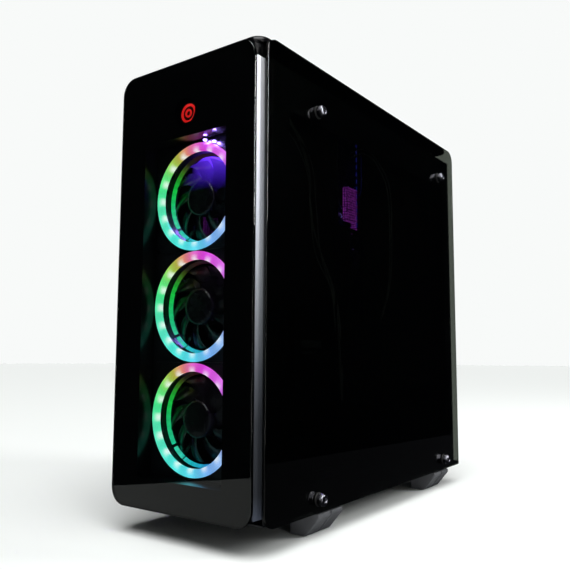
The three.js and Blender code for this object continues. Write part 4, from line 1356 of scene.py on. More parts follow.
@dataclass
class FrontFan:
    """One ring-lit fan: a square frame with a round duct, a lit ring in front and a swept rotor."""

    label: str
    z: float
    front: float = 25.0
    deep: float = 24.7
    half: float = 60.0
    bore: float = 53.0
    ring_inner: float = 50.5
    ring_outer: float = 59.5
    lip: float = 2.3
    tip: float = 45.0
    hub: float = 20.0
    blades: int = 9

    def build(self) -> None:
        """Makes the frame, the ring and the rotor."""
        self.frame()
        self.ring()
        self.halo()
        self.rotor()

    def frame(self) -> None:
        """Makes the frame."""
        surface = duct_frame(self.half, self.bore, self.deep, struts_at_rear=True)
        surface.placed((0, self.front, self.z)).piece(
            f"fan_frame_{self.label}_moulding", Finish.FAN, "fan_plastic", [f"fan_frame_{self.label}"]
        )

    def clock_map(self, piece: Object) -> None:
        """Gives the piece a UV map: u is the turn from twelve o'clock, v goes from the outer edge inwards.

        Args:
            piece: the ring.
        """
        mesh = piece.data
        layer = mesh.uv_layers.new(name="clock")
        corners = np.empty(len(mesh.loops), np.int64)
        mesh.loops.foreach_get("vertex_index", corners)
        points = np.empty(len(mesh.vertices) * 3)
        mesh.vertices.foreach_get("co", points)
        points = points.reshape(-1, 3)
        starts = np.empty(len(mesh.polygons), np.int64)
        totals = np.empty(len(mesh.polygons), np.int64)
        mesh.polygons.foreach_get("loop_start", starts)
        mesh.polygons.foreach_get("loop_total", totals)
        owner = np.repeat(np.arange(len(starts)), totals)
        x, z = points[corners, 0] * 1000, points[corners, 2] * 1000 - self.z
        turn = np.arctan2(x, z) / (2 * np.pi) % 1.0
        first = turn[starts][owner]
        turn = np.where(turn - first > 0.5, turn - 1, np.where(first - turn > 0.5, turn + 1, turn))
        turn = np.clip(turn, 0.0, 1.0)
        inside = np.clip((self.ring_outer - np.hypot(x, z)) / (self.ring_outer - self.ring_inner), 0.0, 1.0)
        layer.data.foreach_set("uv", np.column_stack([turn, inside]).ravel())

    def ring(self) -> None:
        """Makes the lit ring: a crowned face and a short lip into the duct's mouth."""
        crown = self.front - 2.2
        profile = [
            (self.ring_inner, crown + 0.7), (self.ring_inner + 0.7, crown + 0.1),
            (self.ring_inner + 3.0, crown),
            (self.ring_outer - 1.0, crown + 0.1), (self.ring_outer, crown + 0.9),
            (self.ring_outer, self.front - 0.3),
            (self.bore - 0.3, self.front - 0.3), (self.bore - 0.3, self.front + self.lip),
            (self.ring_inner, self.front + self.lip),
        ]
        self.clock_map(Surface().turned(profile, (0, 0, self.z), Axis.Y, 180).piece(
            f"fan_light_ring_{self.label}_acrylic", Finish.RING, "ring_diffuser",
            [f"fan_light_ring_{self.label}"]
        ))

    def halo(self) -> None:
        """Makes the painted reflection of the lit ring on the duct's wall: a glowing sloping band deep in the
        duct, in two arcs with a gap over the lower left.
        """
        section = ((50.8, 36.4), (50.8, 37.6), (47.9, 40.4), (47.5, 39.6), (47.9, 39.0))
        radius, depth = np.array(section).T
        surface = Surface()
        for start, end in ((-126.5, 208.0), (210.5, 229.0)):
            turn = np.radians(np.linspace(start, end, 120))[:, None]
            rings = [radius * np.sin(turn), depth + 0 * turn, self.z + radius * np.cos(turn)]
            surface.loft(np.stack(rings, axis=-1))
        self.clock_map(surface.piece(f"fan_rear_ring_{self.label}", Finish.HALO, "ring_diffuser"))

    def rotor(self) -> None:
        """Makes the rotor, its blades set back so that the thin ring shows in front of them."""
        surface = swept_rotor(self.hub, self.tip, self.blades, 7.0, setback=4.0)
        surface.placed((0, self.front + 11.0, self.z))
        # the top fan's blades carry painted violet light; the others are plain smoked plastic
        finish = Finish.LIT_BLADE if self.label == "upper" else Finish.SMOKE
        surface.piece(
            f"fan_rotor_{self.label}_blades", finish, "fan_plastic", [f"fan_rotor_{self.label}"],
            body=f"{self.label}_rotor", smooth_under=50.0
        )


@dataclass
class PlainFan:
    """An unlit square fan: the one on the cooler or the one at the back."""

    label: str
    x: float
    z: float
    front: float
    middle: float
    struts_at_rear: bool

    def build(self) -> None:
        """Makes the frame, its rubber corner pads and the rotor."""
        frame = duct_frame(60.0, 57.5, 25.0, self.struts_at_rear).placed((self.x, self.front, self.z))
        frame.piece(f"{self.label}_frame_moulding", Finish.FAN, "fan_plastic", [f"{self.label}_frame"])
        pads = Surface()
        for dx in (-52.5, 52.5):
            for dz in (-52.5, 52.5):
                for low, high in ((0.1, 0.5), (24.5, 24.9)):
                    ring = [(2.4, low), (5.6, low), (5.9, (low + high) / 2), (5.6, high), (2.4, high)]
                    pads.turned(ring, (self.x + dx, self.front, self.z + dz), Axis.Y, 24)
        pads.piece(f"{self.label}_pads", Finish.RUBBER, "fan_plastic")
        rotor = swept_rotor(20.0, 55.5, 7, 7.4, setback=0.0)
        rotor.placed((self.x, self.front + self.middle, self.z))
        rotor.piece(
            f"{self.label}_rotor_blades", Finish.SMOKE, "fan_plastic", [f"{self.label}_rotor"],
            body=f"{self.label[:-4]}_rotor", smooth_under=50.0
        )


# ---- Feet, lid and buttons ----


@dataclass
class Foot:
    """A flared foot with eased edges, a groove at mid-length and a rubber sole."""

    row: str
    side: Side
    front: float
    length: float = 49.0

    def build(self) -> None:
        """Makes the foot as one loft with its groove at mid-length, and the sole under it."""
        s = self.side.value
        outline = np.array([
            [65, 0.9], [66, 0.6], [84.2, 0.6], [85.6, 1.2], [101.9, 20.9], [102.5, 22.3], [102.4, 25.4],
            [101.8, 26],
            [94, 26], [94, 27.7], [65, 27.7],
        ])
        groove = outline.copy()
        groove[3:8, 0] -= (2.6, 2.6, 2.6, 1.4, 1.0)
        middle = self.front + self.length / 2
        stations = [
            (self.front, outline, 1.0), (self.front + 1.0, outline, 0.0), (middle - 1.4, outline, 0.0),
            (middle - 1.1, groove, 0.0), (middle + 1.1, groove, 0.0), (middle + 1.4, outline, 0.0),
            (self.front + self.length - 1.0, outline, 0.0), (self.front + self.length, outline, 1.0),
        ]
        centre = outline.mean(axis=0)
        loops = []
        for y, shape, inset in stations:
            drawn = centre + (shape - centre) * (1 - inset * 0.05)
            loops.append(np.column_stack([s * drawn[:, 0], np.full(len(drawn), y), drawn[:, 1]]))
        name = f"foot_{self.row}_{self.side.name.lower()}"
        Surface().loft(np.stack(loops)).piece(
            f"{name}_moulding", Finish.FOOT, "foot_plastic", [name], smooth_under=32.0
        )
        x0, x1 = sorted((s * 67.0, s * 83.0))
        extent = (x0, x1, self.front + 3, self.front + self.length - 3)
        sole = Surface().loft(slab_loops(extent, (2.0,) * 4, [(0.0, 0.4), (0.3, 0.0), (0.9, 0.0)], Axis.Z))
        sole.piece(f"{name}_sole", Finish.RUBBER, "foot_plastic")


@dataclass
class Lid:
    """The lid: a plate with eased edges, open for its filter, the ports and two buttons."""

    half: float = 97.8
    front: float = 11.0
    rear: float = 490.0
    high: float = 520.0
    corner: float = 17.0
    port_row: float = 48.0

    def on_rim(self, points: np.ndarray) -> np.ndarray:
        """Tells which points lie on the top edge of the lid's outline, a rectangle with round corners.

        A point's distance from the outline is that of its offset past the corner centres, less the radius.

        Args:
            points: an (n, 3) array.

        Returns:
            A boolean array.
        """
        middle = (self.front + self.rear) / 2
        corners = (self.half - self.corner, self.rear - middle - self.corner)
        past = np.abs(points[:, :2] - (0.0, middle)) - corners
        distance = np.linalg.norm(np.maximum(past, 0), axis=1) + np.minimum(past.max(axis=1), 0) - self.corner
        return (np.abs(distance) < 0.3) & (points[:, 2] > self.high - 0.1)

    def button(self, name: str, x: float, radius: float) -> None:
        """Makes a button with a dished top and a bright rim.

        Args:
            name: the solid it is shown for, which is also its body.
            x: its place.
            radius: its radius.
        """
        r, top = radius, self.high - 0.4
        profile = [(0, 508.4), (r + 1.2, 508.4), (r + 1.2, 511.6), (r, 511.7), (r, top - 0.8),
                   (r - 0.3, top - 0.2),
                   (r - 0.9, top), (r * 0.8, top - 0.1), (r * 0.5, top - 0.7), (0, top - 0.9)]
        centre = (x, self.port_row, 0)
        Surface().turned(profile, centre, Axis.Z, 72).piece(
            f"{name}_cap", Finish.SHELL, "case_plastic", [name], body=name
        )
        rim = [(r - 0.75, top - 0.05), (r - 0.55, top + 0.1), (r - 0.25, top + 0.05), (r - 0.2, top - 0.3)]
        Surface().turned(rim, centre, Axis.Z, 72).piece(f"{name}_rim", Finish.CHROME, "case_plastic",
                                                        body=name)

    def build(self, solid: Object) -> None:
        """Makes the lid with its rim rounded over, the buttons and the sockets.

        Args:
            solid: the lid's plain solid.
        """
        eased_copy(solid, Finish.GLOSS, CASE, 0.4, self.on_rim)
        self.button("power_button", 44.0, 9.0)
        self.button("reset_button", 70.0, 4.5)
        self.sockets()

    def sockets(self) -> None:
        """Makes the metal liners and tongues of the flat sockets and the rims of the round ones."""
        y, top = self.port_row, 519.4
        metal, tongue = Surface(), Surface()
        for x in (-51.0, -27.0):
            extent = [(-6.95, -6.65, -2.95, 2.95), (6.65, 6.95, -2.95, 2.95), (-6.6, 6.6, -2.95, -2.65),
                      (-6.6, 6.6, 2.65, 2.95)]
            for a, b, c, d in extent:
                metal.box(x + a, x + b, y + c, y + d, top - 12, top)
            tongue.box(x - 5.6, x + 5.6, y - 2.0, y - 0.2, top - 12.4, top - 1.2)
        for x in (-8.0, 8.0):
            rim = [(1.85, top - 10), (2.9, top - 10), (2.9, top), (2.6, top + 0.1), (1.85, top - 0.1)]
            metal.turned(rim, (x, y, 0), Axis.Z, 40)
        metal.piece("front_socket_metal", Finish.NICKEL, "case_plastic")
        tongue.piece("front_socket_tongues", Finish.RUBBER, "case_plastic")


# ---- The computer inside ----


@dataclass
class Board:
    """The motherboard: its sheet, slots, sockets, small heatsinks, capacitors, chokes and rear ports."""

    face: float = 70.4
    back: float = 72.0
    front: float = 251.2
    rear: float = 495.2
    low: float = 166.0
    high: float = 471.0
    socket: tuple[float, float] = (401.2, 392.0)

    def build(self) -> None:
        """Makes every group of parts on the sheet."""
        extent = (self.front, self.rear, self.low, self.high)
        sheet = Surface().loft(slab_loops(extent, (2.0,) * 4, eased(self.face, self.back, 0.2), Axis.X))
        sheet.piece("motherboard_sheet", Finish.BOARD, "board", ["motherboard"])
        self.slots()
        self.sinks()
        self.small_parts()
        self.rear_ports()

    def on(self, surface: Surface, proud: float, y0: float, y1: float, z0: float, z1: float) -> None:
        """Adds a block that stands on the sheet's face."""
        surface.box(self.face - proud, self.face, y0, y1, z0, z1)

    def slots(self) -> None:
        """Makes the card slots and memory sockets: two walls and two ends round a slit, with clips."""
        body, metal = Surface(), Surface()
        for middle in (290.0, 249.36, 208.72):
            y0, y1 = self.front + 94, self.front + 184
            for z0, z1 in ((-3.5, -1.0), (1.0, 3.5)):
                self.on(body, 8, y0, y1, middle + z0, middle + z1)
            for a, b in ((y0, y0 + 4), (y1 - 4, y1), (y0 + 22, y0 + 24)):
                self.on(body, 7.8, a, b, middle - 1.2, middle + 1.2)
            for z0, z1 in ((-4.1, -3.5), (3.5, 4.1)):
                self.on(metal, 7.2, y0 + 2, y1 - 2, middle + z0, middle + z1)
        for row in (285.2, 295.2, 305.2, 315.2):
            for y0, y1 in ((-3.0, -0.9), (0.9, 3.0)):
                self.on(body, 5, row + y0, row + y1, 325.0, 461.0)
            for z0, z1 in ((325.0, 328.0), (458.0, 461.0), (389, 391)):
                self.on(body, 5.8 if z1 - z0 > 2 else 4.6, row - 2.6, row + 2.6, z0, z1)
            for z0, z1 in ((461.3, 464.8), (321.2, 324.7)):
                self.on(body, 8.5, row - 2.0, row + 2.0, z0, z1)
        body.piece("board_slots", Finish.SHELL, "board", ease=0.25)
        metal.piece("board_slot_shields", Finish.NICKEL, "board")

    def sinks(self) -> None:
        """Makes the finned heatsinks beside and above the processor, the ribbed chip cover and the socket."""
        y, z = self.socket
        metal = Surface()
        self.on(metal, 6, y + 39, y + 57, z - 42, z + 63)
        for z0 in np.arange(z - 42, z + 61, 5.2):
            self.on(metal, 22, y + 39, y + 57, z0, z0 + 2.6)
        self.on(metal, 5, y - 61, y + 39, z + 56, z + 70)
        for y0 in np.arange(y - 61, y + 37, 5.0):
            self.on(metal, 18, y0, y0 + 2.5, z + 56, z + 70)
        self.on(metal, 6.0, self.front + 39, self.front + 79, self.low + 24, self.low + 59)
        for k in range(5):
            self.on(metal, 8, self.front + 41 + k * 7.6, self.front + 46 + k * 7.6, self.low + 26,
                    self.low + 57)
        self.on(metal, 3.4, self.front + 100, self.front + 170, 226.0, 240.0)
        metal.piece("board_heatsinks", Finish.DARK_FIN, "board", ease=0.3)
        socket = Surface()
        for a, b, c, d in ((-22, 22, -24, -19.5), (-22, 22, 19.5, 24), (-22, -19.5, -19.5, 19.5),
                           (19.5, 22, -19.5, 19.5)):
            self.on(socket, 3.6, y + a, y + b, z + c, z + d)
        self.on(socket, 3.9, y - 18, y + 18, z - 18, z + 18)
        socket.piece("processor_socket", Finish.NICKEL, "board", ease=0.3)

    def small_parts(self) -> None:
        """Makes capacitors, chokes, chips, the power socket's cells and the drive sockets."""
        y, z = self.socket
        cans, chips, cells = Surface(), Surface(), Surface()
        places = [(y - 66 + 8.2 * k, z + 50) for k in range(11)]
        places += [(y + 33, z - 38 + 8.4 * k) for k in range(10)]
        places += [(self.front + 16 + 9 * k, self.low + 12) for k in range(4)]
        places += [(self.front + 20, 300.0 - 9 * k) for k in range(3)]
        places += [(self.front + 204 + 9 * k, 200.0) for k in (0, 1)]
        for v, w in places:
            can = [(0, -7.9), (2.7, -7.9), (3.1, -7.5), (3.1, -1.3), (2.8, -1.0), (3.1, -0.7), (3.1, 0.0),
                   (0, 0.0)]
            cans.turned(can, (self.face, v, w), Axis.X, 20)
        for k in range(9):
            self.on(chips, 5.5, y - 60 + 10.4 * k, y - 52 + 10.4 * k, z + 38, z + 46)
        for k in range(8):
            self.on(chips, 5.5, y + 23.2, y + 31, z - 40 + 10.4 * k, z - 32 + 10.4 * k)
        for v, w, a, b in ((270, 214, 9, 9), (300, 236, 5, 7), (360, 186, 7, 7), (420, 186, 4, 5),
                           (455, 214, 8, 5),
                           (462, 268, 6, 6), (340, 312, 5, 8), (275, 186, 5, 4), (330, 180, 8, 3)):
            self.on(chips, 1.3, v - a, v + a, w - b, w + b)
        for row in range(12):
            for column in range(2):
                v, w = self.front + 2.4 + column * 4.8, self.high - 170.6 + row * 4.3
                for a, b, c, d in ((0, 4.2, 0, 0.6), (0, 4.2, 3.2, 3.8), (0, 0.6, 0.6, 3.2),
                                   (3.6, 4.2, 0.6, 3.2)):
                    self.on(cells, 12, v + a, v + b, w + c, w + d)
        for k in range(3):
            for a, b, c, d in ((0, 16, 0, 1.2), (0, 16, 5.8, 7), (0, 1.2, 1.2, 5.8), (14.8, 16, 1.2, 5.8)):
                self.on(cells, 9, self.front + 2 + a, self.front + 2 + b, 200 + k * 9 + c, 200 + k * 9 + d)
        for k in range(2):
            cells.turned([(0, -3.4), (9.6, -3.4), (10, -3.0), (10, -1.0), (11, -0.8), (11, 0), (0, 0)],
                         (self.face, 376.0 + 58 * k, 180.0 + 4 * k), Axis.X, 40)
        cans.piece("board_capacitors", Finish.NICKEL, "board")
        chips.piece("board_chips", Finish.SHELL, "board", ease=0.35)
        cells.piece("board_cable_sockets", Finish.RUBBER, "board", ease=0.15)

    def rear_ports(self) -> None:
        """Makes the ports at the back: metal sleeves with tongues, a network socket and six round jacks."""
        metal, plastic, jacks = Surface(), Surface(), Surface()
        y0, y1 = self.rear - 21.5, 496.6
        sleeves = [(x, z, 14.2, 6.6) for z in (449.0, 413.0, 391.0) for x in (62.0, 52.0)]
        sleeves += [(x, 431.0, 16.0, 5.4) for x in (62.0, 52.0)] + [(53.5, 366.0, 15.6, 13.4)]
        for x, z, wide, tall in sleeves:
            a, b, wall = tall / 2, wide / 2, 0.45
            for box in ((x - a, x - a + wall, z - b, z + b), (x + a - wall, x + a, z - b, z + b),
                        (x - a, x + a, z - b, z - b + wall), (x - a, x + a, z + b - wall, z + b)):
                metal.box(box[0], box[1], y0, y1, box[2], box[3])
            deep = 13 if tall < 10 else 9
            plastic.box(x - a + wall, x + a - wall, y0, y1 - deep, z - b + wall, z + b - wall)
            plastic.box(x + 0.2, x + 1.7, y1 - deep, y1 - 1.2, z - b + 1.4, z + b - 1.4)
        for z in (344.0, 330.0, 316.0):
            for x in (62.0, 48.0):
                ring = [(1.8, -12), (5.2, -12), (5.2, 0.2), (4.4, 1.4), (3.4, 1.4), (2.4, 0.4), (1.8, -0.6)]
                jacks.turned(ring, (x, self.rear + 0.1, z), Axis.Y, 40)
        shield = Surface()
        for x0, x1, z0, z1 in ((30.0, 43.6, 305.0, 460.0), (67.0, 69.6, 305.0, 460.0),
                               (43.6, 67.0, 306.0, 309.6),
                               (43.6, 67.0, 374.0, 386.0), (43.6, 67.0, 350.4, 358.0),
                               (43.6, 67.0, 456.6, 460.0)):
            shield.box(x0, x1, self.rear - 0.7, self.rear - 0.1, z0, z1)
        shield.box(30.0, self.face, self.rear - 22, self.rear - 21.5, 305.0, 460.0)
        shield.piece("port_shield", Finish.FIN, "board", ease=0.15)
        metal.piece("port_sleeves", Finish.NICKEL, "board", ease=0.12)
        plastic.piece("port_tongues", Finish.RUBBER, "board", ease=0.2)
        jacks.piece("round_jacks", Finish.NICKEL, "board")


@dataclass
class Memory:
    """Two memory sticks: a heat spreader with a stepped top, a lit bar and gold contacts."""

    rows: dict[str, float] = field(default_factory=lambda: {"front": 295.2, "rear": 315.2})
    low: float = 327.0
    high: float = 459.0
    foot: float = 65.1
    top: float = 33.1

    def build(self) -> None:
        """Makes both sticks."""
        for label, y in self.rows.items():
            spreader, lit, contacts = Surface(), Surface(), Surface()
            steps = [self.low, self.low + 12, self.low + 20, self.high - 40, self.high - 32, self.high]
            tops = [self.top + 6, self.top + 6, self.top + 1.4, self.top + 1.4, self.top + 6, self.top + 6]
            for face in (-1, 1):
                a, b = sorted((y + face * 1.0, y + face * 2.5))
                ring = [(self.foot - 3, steps[0])] + list(zip(tops, steps)) + [(self.foot - 3, steps[-1])]
                loops = [np.array([[u, v, w] for u, w in ring]) for v in (a, b)]
                spreader.loft(np.stack(loops))
                for k in range(9):
                    z = self.low + 14 + k * 12
                    spreader.box(self.top + 12, self.foot - 8, *sorted((y + face * 2.5, y + face * 2.6)), z,
                                 z + 5)
                sheet = sorted((y + face * 2.5, y + face * 2.62))
                lit.box(self.top + 2.2, self.top + 10.5, *sheet, self.low + 22, self.high - 42)
            lit.box(self.top, self.top + 2.0, y - 1.0, y + 1.0, self.low + 22, self.high - 42)
            contacts.box(self.foot - 4, self.foot, y - 0.6, y + 0.6, self.low, self.low + 72)
            contacts.box(self.foot - 4, self.foot, y - 0.6, y + 0.6, self.low + 75, self.high)
            spreader.piece(f"memory_{label}_spreader", Finish.MEMORY, "memory_fin", [f"memory_{label}"],
                           ease=0.3)
            lit.piece(f"memory_{label}_light", Finish.MEMORY_LIGHT, "memory_fin", ease=0.05)
            contacts.piece(f"memory_{label}_contacts", Finish.GOLD, "memory_fin", ease=0.1)


@dataclass
class TowerCooler:
    """A tower cooler: a copper-cored base, four bent heat pipes and thirty-six thin fins."""

    x0: float = -82.0
    x1: float = 22.9
    centre: tuple[float, float] = (401.2, 392.0)
    fins: int = 36

    def build(self) -> None:
        """Makes the fins, pipes, base and top cap."""
        y, z = self.centre
        fins = Surface()
        for x in np.linspace(self.x0 + 2.4, self.x1 - 0.5, self.fins):
            outline = np.array([
                [-22, -60], [-6, -60], [-3, -57.5], [3, -57.5], [6, -60], [22, -60], [23, -57], [23, -20],
                [20.5, -16],
                [20.5, 16], [23, 20], [23, 57], [22, 60], [6, 60], [3, 57.5], [-3, 57.5], [-6, 60], [-22, 60],
                [-23, 57], [-23, 20], [-20.5, 16], [-20.5, -16], [-23, -20], [-23, -57],
            ])
            u, v = y + outline[:, 0], z + outline[:, 1]
            loops = [np.column_stack([np.full(len(outline), x + d), u, v]) for d in (0, 0.5)]
            fins.loft(np.stack(loops))
        fins.piece("cooler_fins", Finish.FIN, "bare_aluminium", ["processor_heatsink"])
        pipes = Surface()
        for v in (-13, -4.4, 4.4, 13):
            for way in (-1, 1):
                knots = [(60.5, y + v, z + way * 4), (60, y + v, z + way * 14), (50, y + v, z + way * 30),
                         (30, y + v, z + way * 36), (0, y + v, z + way * 36),
                         (self.x0 + 0.8, y + v, z + way * 36)]
                pipes.tube(smooth_path(knots, 60), 2.9, 16)
        pipes.piece("cooler_pipes", Finish.NICKEL, "bare_aluminium")
        base = Surface()
        base.box(58.2, 66.2, y - 19, y + 19, z - 19, z + 19)
        base.box(54.5, 58.2, y - 15, y + 15, z - 15, z + 15)
        for way in (-1, 1):
            base.box(59.0, 61.2, y - 5, y + 5, *sorted((z + way * 19, z + way * 38)))
            base.turned([(0, -3), (2.6, -3), (3, -2.6), (3, 3), (1.4, 6), (0, 6)], (60, y, z + way * 35),
                        Axis.X, 24)
        base.piece("cooler_base", Finish.NICKEL, "bare_aluminium", ease=0.4)
        cap = Surface().loft(slab_loops((y - 22.6, y + 22.6, z - 59.6, z + 59.6), (3.0,) * 4,
                                        eased(self.x0, self.x0 + 1.6, 0.4), Axis.X))
        for way in (-1, 1):
            cap.box(self.x0 - 0.5, self.x0 + 0.2, y - 16, y + 16, *sorted((z + way * 20, z + way * 23)))
        cap.piece("cooler_cap", Finish.DARK_FIN, "bare_aluminium", ease=0.2)


@dataclass
class GraphicsCard:
    """The graphics card: circuit board, back plate, faceted shroud with two fan wells, and its bracket."""

    front: float = 262.0
    rear: float = 489.0
    low: float = 254.0
    high: float = 290.0
    left: float = -52.0
    right: float = 52.0
    rows: tuple[float, float] = (322.0, 420.0)
    well: float = 41.0

    def build(self) -> None:
        """Makes the board, back plate, fin block, shroud, bracket and fans."""
        board = Surface().loft(slab_loops((self.left, 62.0, self.front, 493.0), (2.0,) * 4,
                                          eased(self.high - 3.4, self.high - 1.8, 0.2), Axis.Z))
        board.piece("card_board", Finish.BOARD, "case_plastic", ["graphics_card"])
        plate = Surface().loft(slab_loops((self.left + 0.4, self.right - 2, self.front + 0.5, 488.0),
                                          (3.0,) * 4,
                                          eased(self.high - 1.7, self.high, 0.5), Axis.Z))
        for k in range(7):
            y = self.front + 150 + k * 9
            plate.box(self.left + 14, self.left + 60, y, y + 3.4, self.high - 0.4, self.high + 0.02)
        plate.piece("card_back_plate", Finish.DARK_FIN, "case_plastic", ease=0.2)
        fins = Surface()
        for y in np.arange(self.front + 6, self.rear - 8, 3.4):
            fins.box(self.left + 3, self.right - 3, y, y + 0.7, self.low + 15, self.high - 4)
        fins.piece("card_fins", Finish.FIN, "case_plastic")
        self.shroud()
        self.bracket()
        for k, y in enumerate(self.rows, 1):
            rotor = swept_rotor(13.0, 38.6, 9, 4.0, 0.0).placed((0, y, self.low + 4.5), Axis.Z)
            rotor.piece(
                f"graphics_card_fan_{k}_blades", Finish.SMOKE, "fan_plastic", [f"graphics_card_fan_{k}"],
                body=f"graphics_rotor_{k}", smooth_under=50.0
            )

    def shroud(self) -> None:
        """Makes the shroud in two halves, each a plate from its outline in to the round well, with walls."""
        shell = Surface()
        seam = sum(self.rows) / 2
        for (y0, y1), row in zip(((self.front, seam), (seam, self.rear)), self.rows):
            outer = evenly(rounded_loop(self.left, self.right, y0, y1, (3.0,) * 4, 18), 144)
            turn = np.arctan2(outer[:, 1] - row, outer[:, 0])
            circle = np.column_stack([np.cos(turn), np.sin(turn)])
            centre = np.array([0.0, row])
            middle = np.array([0.0, (y0 + y1) / 2])
            stack = [
                (middle + (outer - middle) * 0.93, self.low), (outer, self.low + 5.0),
                (outer, self.high - 5.0),
                (middle + (outer - middle) * 0.97, self.high - 5.0),
                (middle + (outer - middle) * 0.97, self.low + 6.0),
                (centre + circle * (self.well + 1.4), self.low + 9.0),
                (centre + circle * self.well, self.low + 9.0),
                (centre + circle * self.well, self.low + 1.0),
                (centre + circle * (self.well + 1.6), self.low),
            ]
            loops = np.stack([np.column_stack([ring, np.full(len(ring), z)]) for ring, z in stack])
            shell.loft(loops, ends=False)
            shell.turned([(0, 9.6), (11.5, 9.6), (12, 10.2), (12, 13.6), (0, 13.6)], (0, row, self.low),
                         Axis.Z, 40)
            for k in range(3):
                angle = 0.4 + k * 2 * math.pi / 3
                way = np.array([math.cos(angle), math.sin(angle), 0.0])
                side = np.array([-way[1], way[0], 0.0])
                start = np.array([0.0, row, self.low + 11.4])
                section = [(-1.6, -1.2), (1.6, -1.2), (1.2, 1.2), (-1.2, 1.2)]
                rod = [[start + way * r + side * a + (0, 0, d) for a,
                        d in section] for r in (11.0, self.well + 1.0)]
                shell.loft(np.array(rod))
        shell.piece("card_shroud", Finish.SHELL, "case_plastic", smooth_under=30.0)

    def bracket(self) -> None:
        """Makes the slot bracket with its row of vents, and three display sockets."""
        plate, sockets = Surface(), Surface()
        y0, y1 = 493.8, 495.2
        for z0, z1 in ((self.low - 1, self.low + 4), (self.low + 14, self.low + 19),
                       (self.high - 6, self.high + 3)):
            plate.box(self.left, 60.0, y0, y1, z0, z1)
        for k in range(17):
            x = self.left + k * 6.86
            plate.box(x, x + 1.9, y0, y1, self.low + 3.6, self.low + 14.4)
            plate.box(x, x + 1.9, y0, y1, self.low + 18.6, self.high - 5.6)
        for x in (-38.0, -16.0, 6.0):
            for a, b, c, d in ((0, 17, -5.4, -4.6), (0, 17, 2.2, 3.0), (0, 0.8, -4.6, 2.2),
                               (16.2, 17, -4.6, 2.2)):
                sockets.box(x + a, x + b, y1 - 5, y1 + 2.2, self.high + c, self.high + d)
            sockets.box(x + 2.4, x + 14.6, y1 - 5, y1 + 1.2, self.high - 2.0, self.high - 0.6)
        plate.piece("card_bracket", Finish.NICKEL, "case_plastic", ease=0.2)
        sockets.piece("card_sockets", Finish.FIN, "case_plastic", ease=0.15)


@dataclass
class Drives:
    """The solid state drive behind the tray and the hard drive in its cage, with plain labels."""

    def build(self) -> None:
        """Makes both drives."""
        body = Surface().loft(slab_loops((84.0, 154.0, 150.0, 243.4), (2.5,) * 4, eased(80.3, 87.3, 0.5),
                                         Axis.X))
        body.box(80.3, 83.6, 86.0, 152.0, 243.0, 250.0)
        body.box(83.6, 87.0, 86.0, 95.0, 243.0, 250.0)
        body.box(83.6, 87.0, 131.0, 152.0, 243.0, 250.0)
        for y in (90.0, 148.0):
            for z in (156.0, 232.0):
                body.turned([(0, -0.2), (2.4, -0.2), (2.6, 0.1), (1.2, 0.25), (0, 0.25)], (87.3, y, z),
                            Axis.X, 24)
        body.piece("solid_state_drive_case", Finish.SHELL, "case_plastic", ["solid_state_drive"], ease=0.25)
        tag = Surface().loft(slab_loops((95.0, 134.0, 200.5, 209.0), (1.0,) * 4, [(87.25, 0.0), (87.5, 0.0)],
                                        Axis.X))
        tag.loft(slab_loops((95.0, 120.0, 194.0, 196.6), (0.6,) * 4, [(87.25, 0.0), (87.5, 0.0)], Axis.X))
        tag.piece("solid_state_drive_label", Finish.LABEL, "case_plastic")
        disc = Surface().loft(slab_loops((-73.0, 73.0, 141.2, 242.8), (3.0,) * 4, eased(38.3, 60.6, 0.8),
                                         Axis.Z))
        disc.loft(slab_loops((-71.0, 70.0, 143.2, 240.8), (6.0,) * 4, eased(60.4, 62.6, 0.7), Axis.Z))
        disc.turned([(0, 0), (17, 0), (17.6, -0.4), (18, -1.4), (18, -2), (0, -2)], (-28, 192, 64.2), Axis.Z,
                    64)
        disc.turned([(20, -2.2), (46.6, -2.2), (46.6, -0.9), (45.8, -0.5), (20.8, -0.5), (20, -0.9)],
                    (-22, 192, 64.4), Axis.Z, 96)
        for x, y in ((-68, 146), (67, 146), (-68, 238), (67, 238), (0, 145.4), (0, 238.6)):
            disc.turned([(0, -1), (2.6, -1), (2.6, 0.2), (1.4, 0.45), (0, 0.45)], (x, y, 62.6), Axis.Z, 24)
        disc.box(67.0, 72.6, 172.0, 212.0, 39.4, 46.0)
        disc.piece("hard_drive_case", Finish.FIN, "bare_aluminium", ["hard_drive"], ease=0.2)


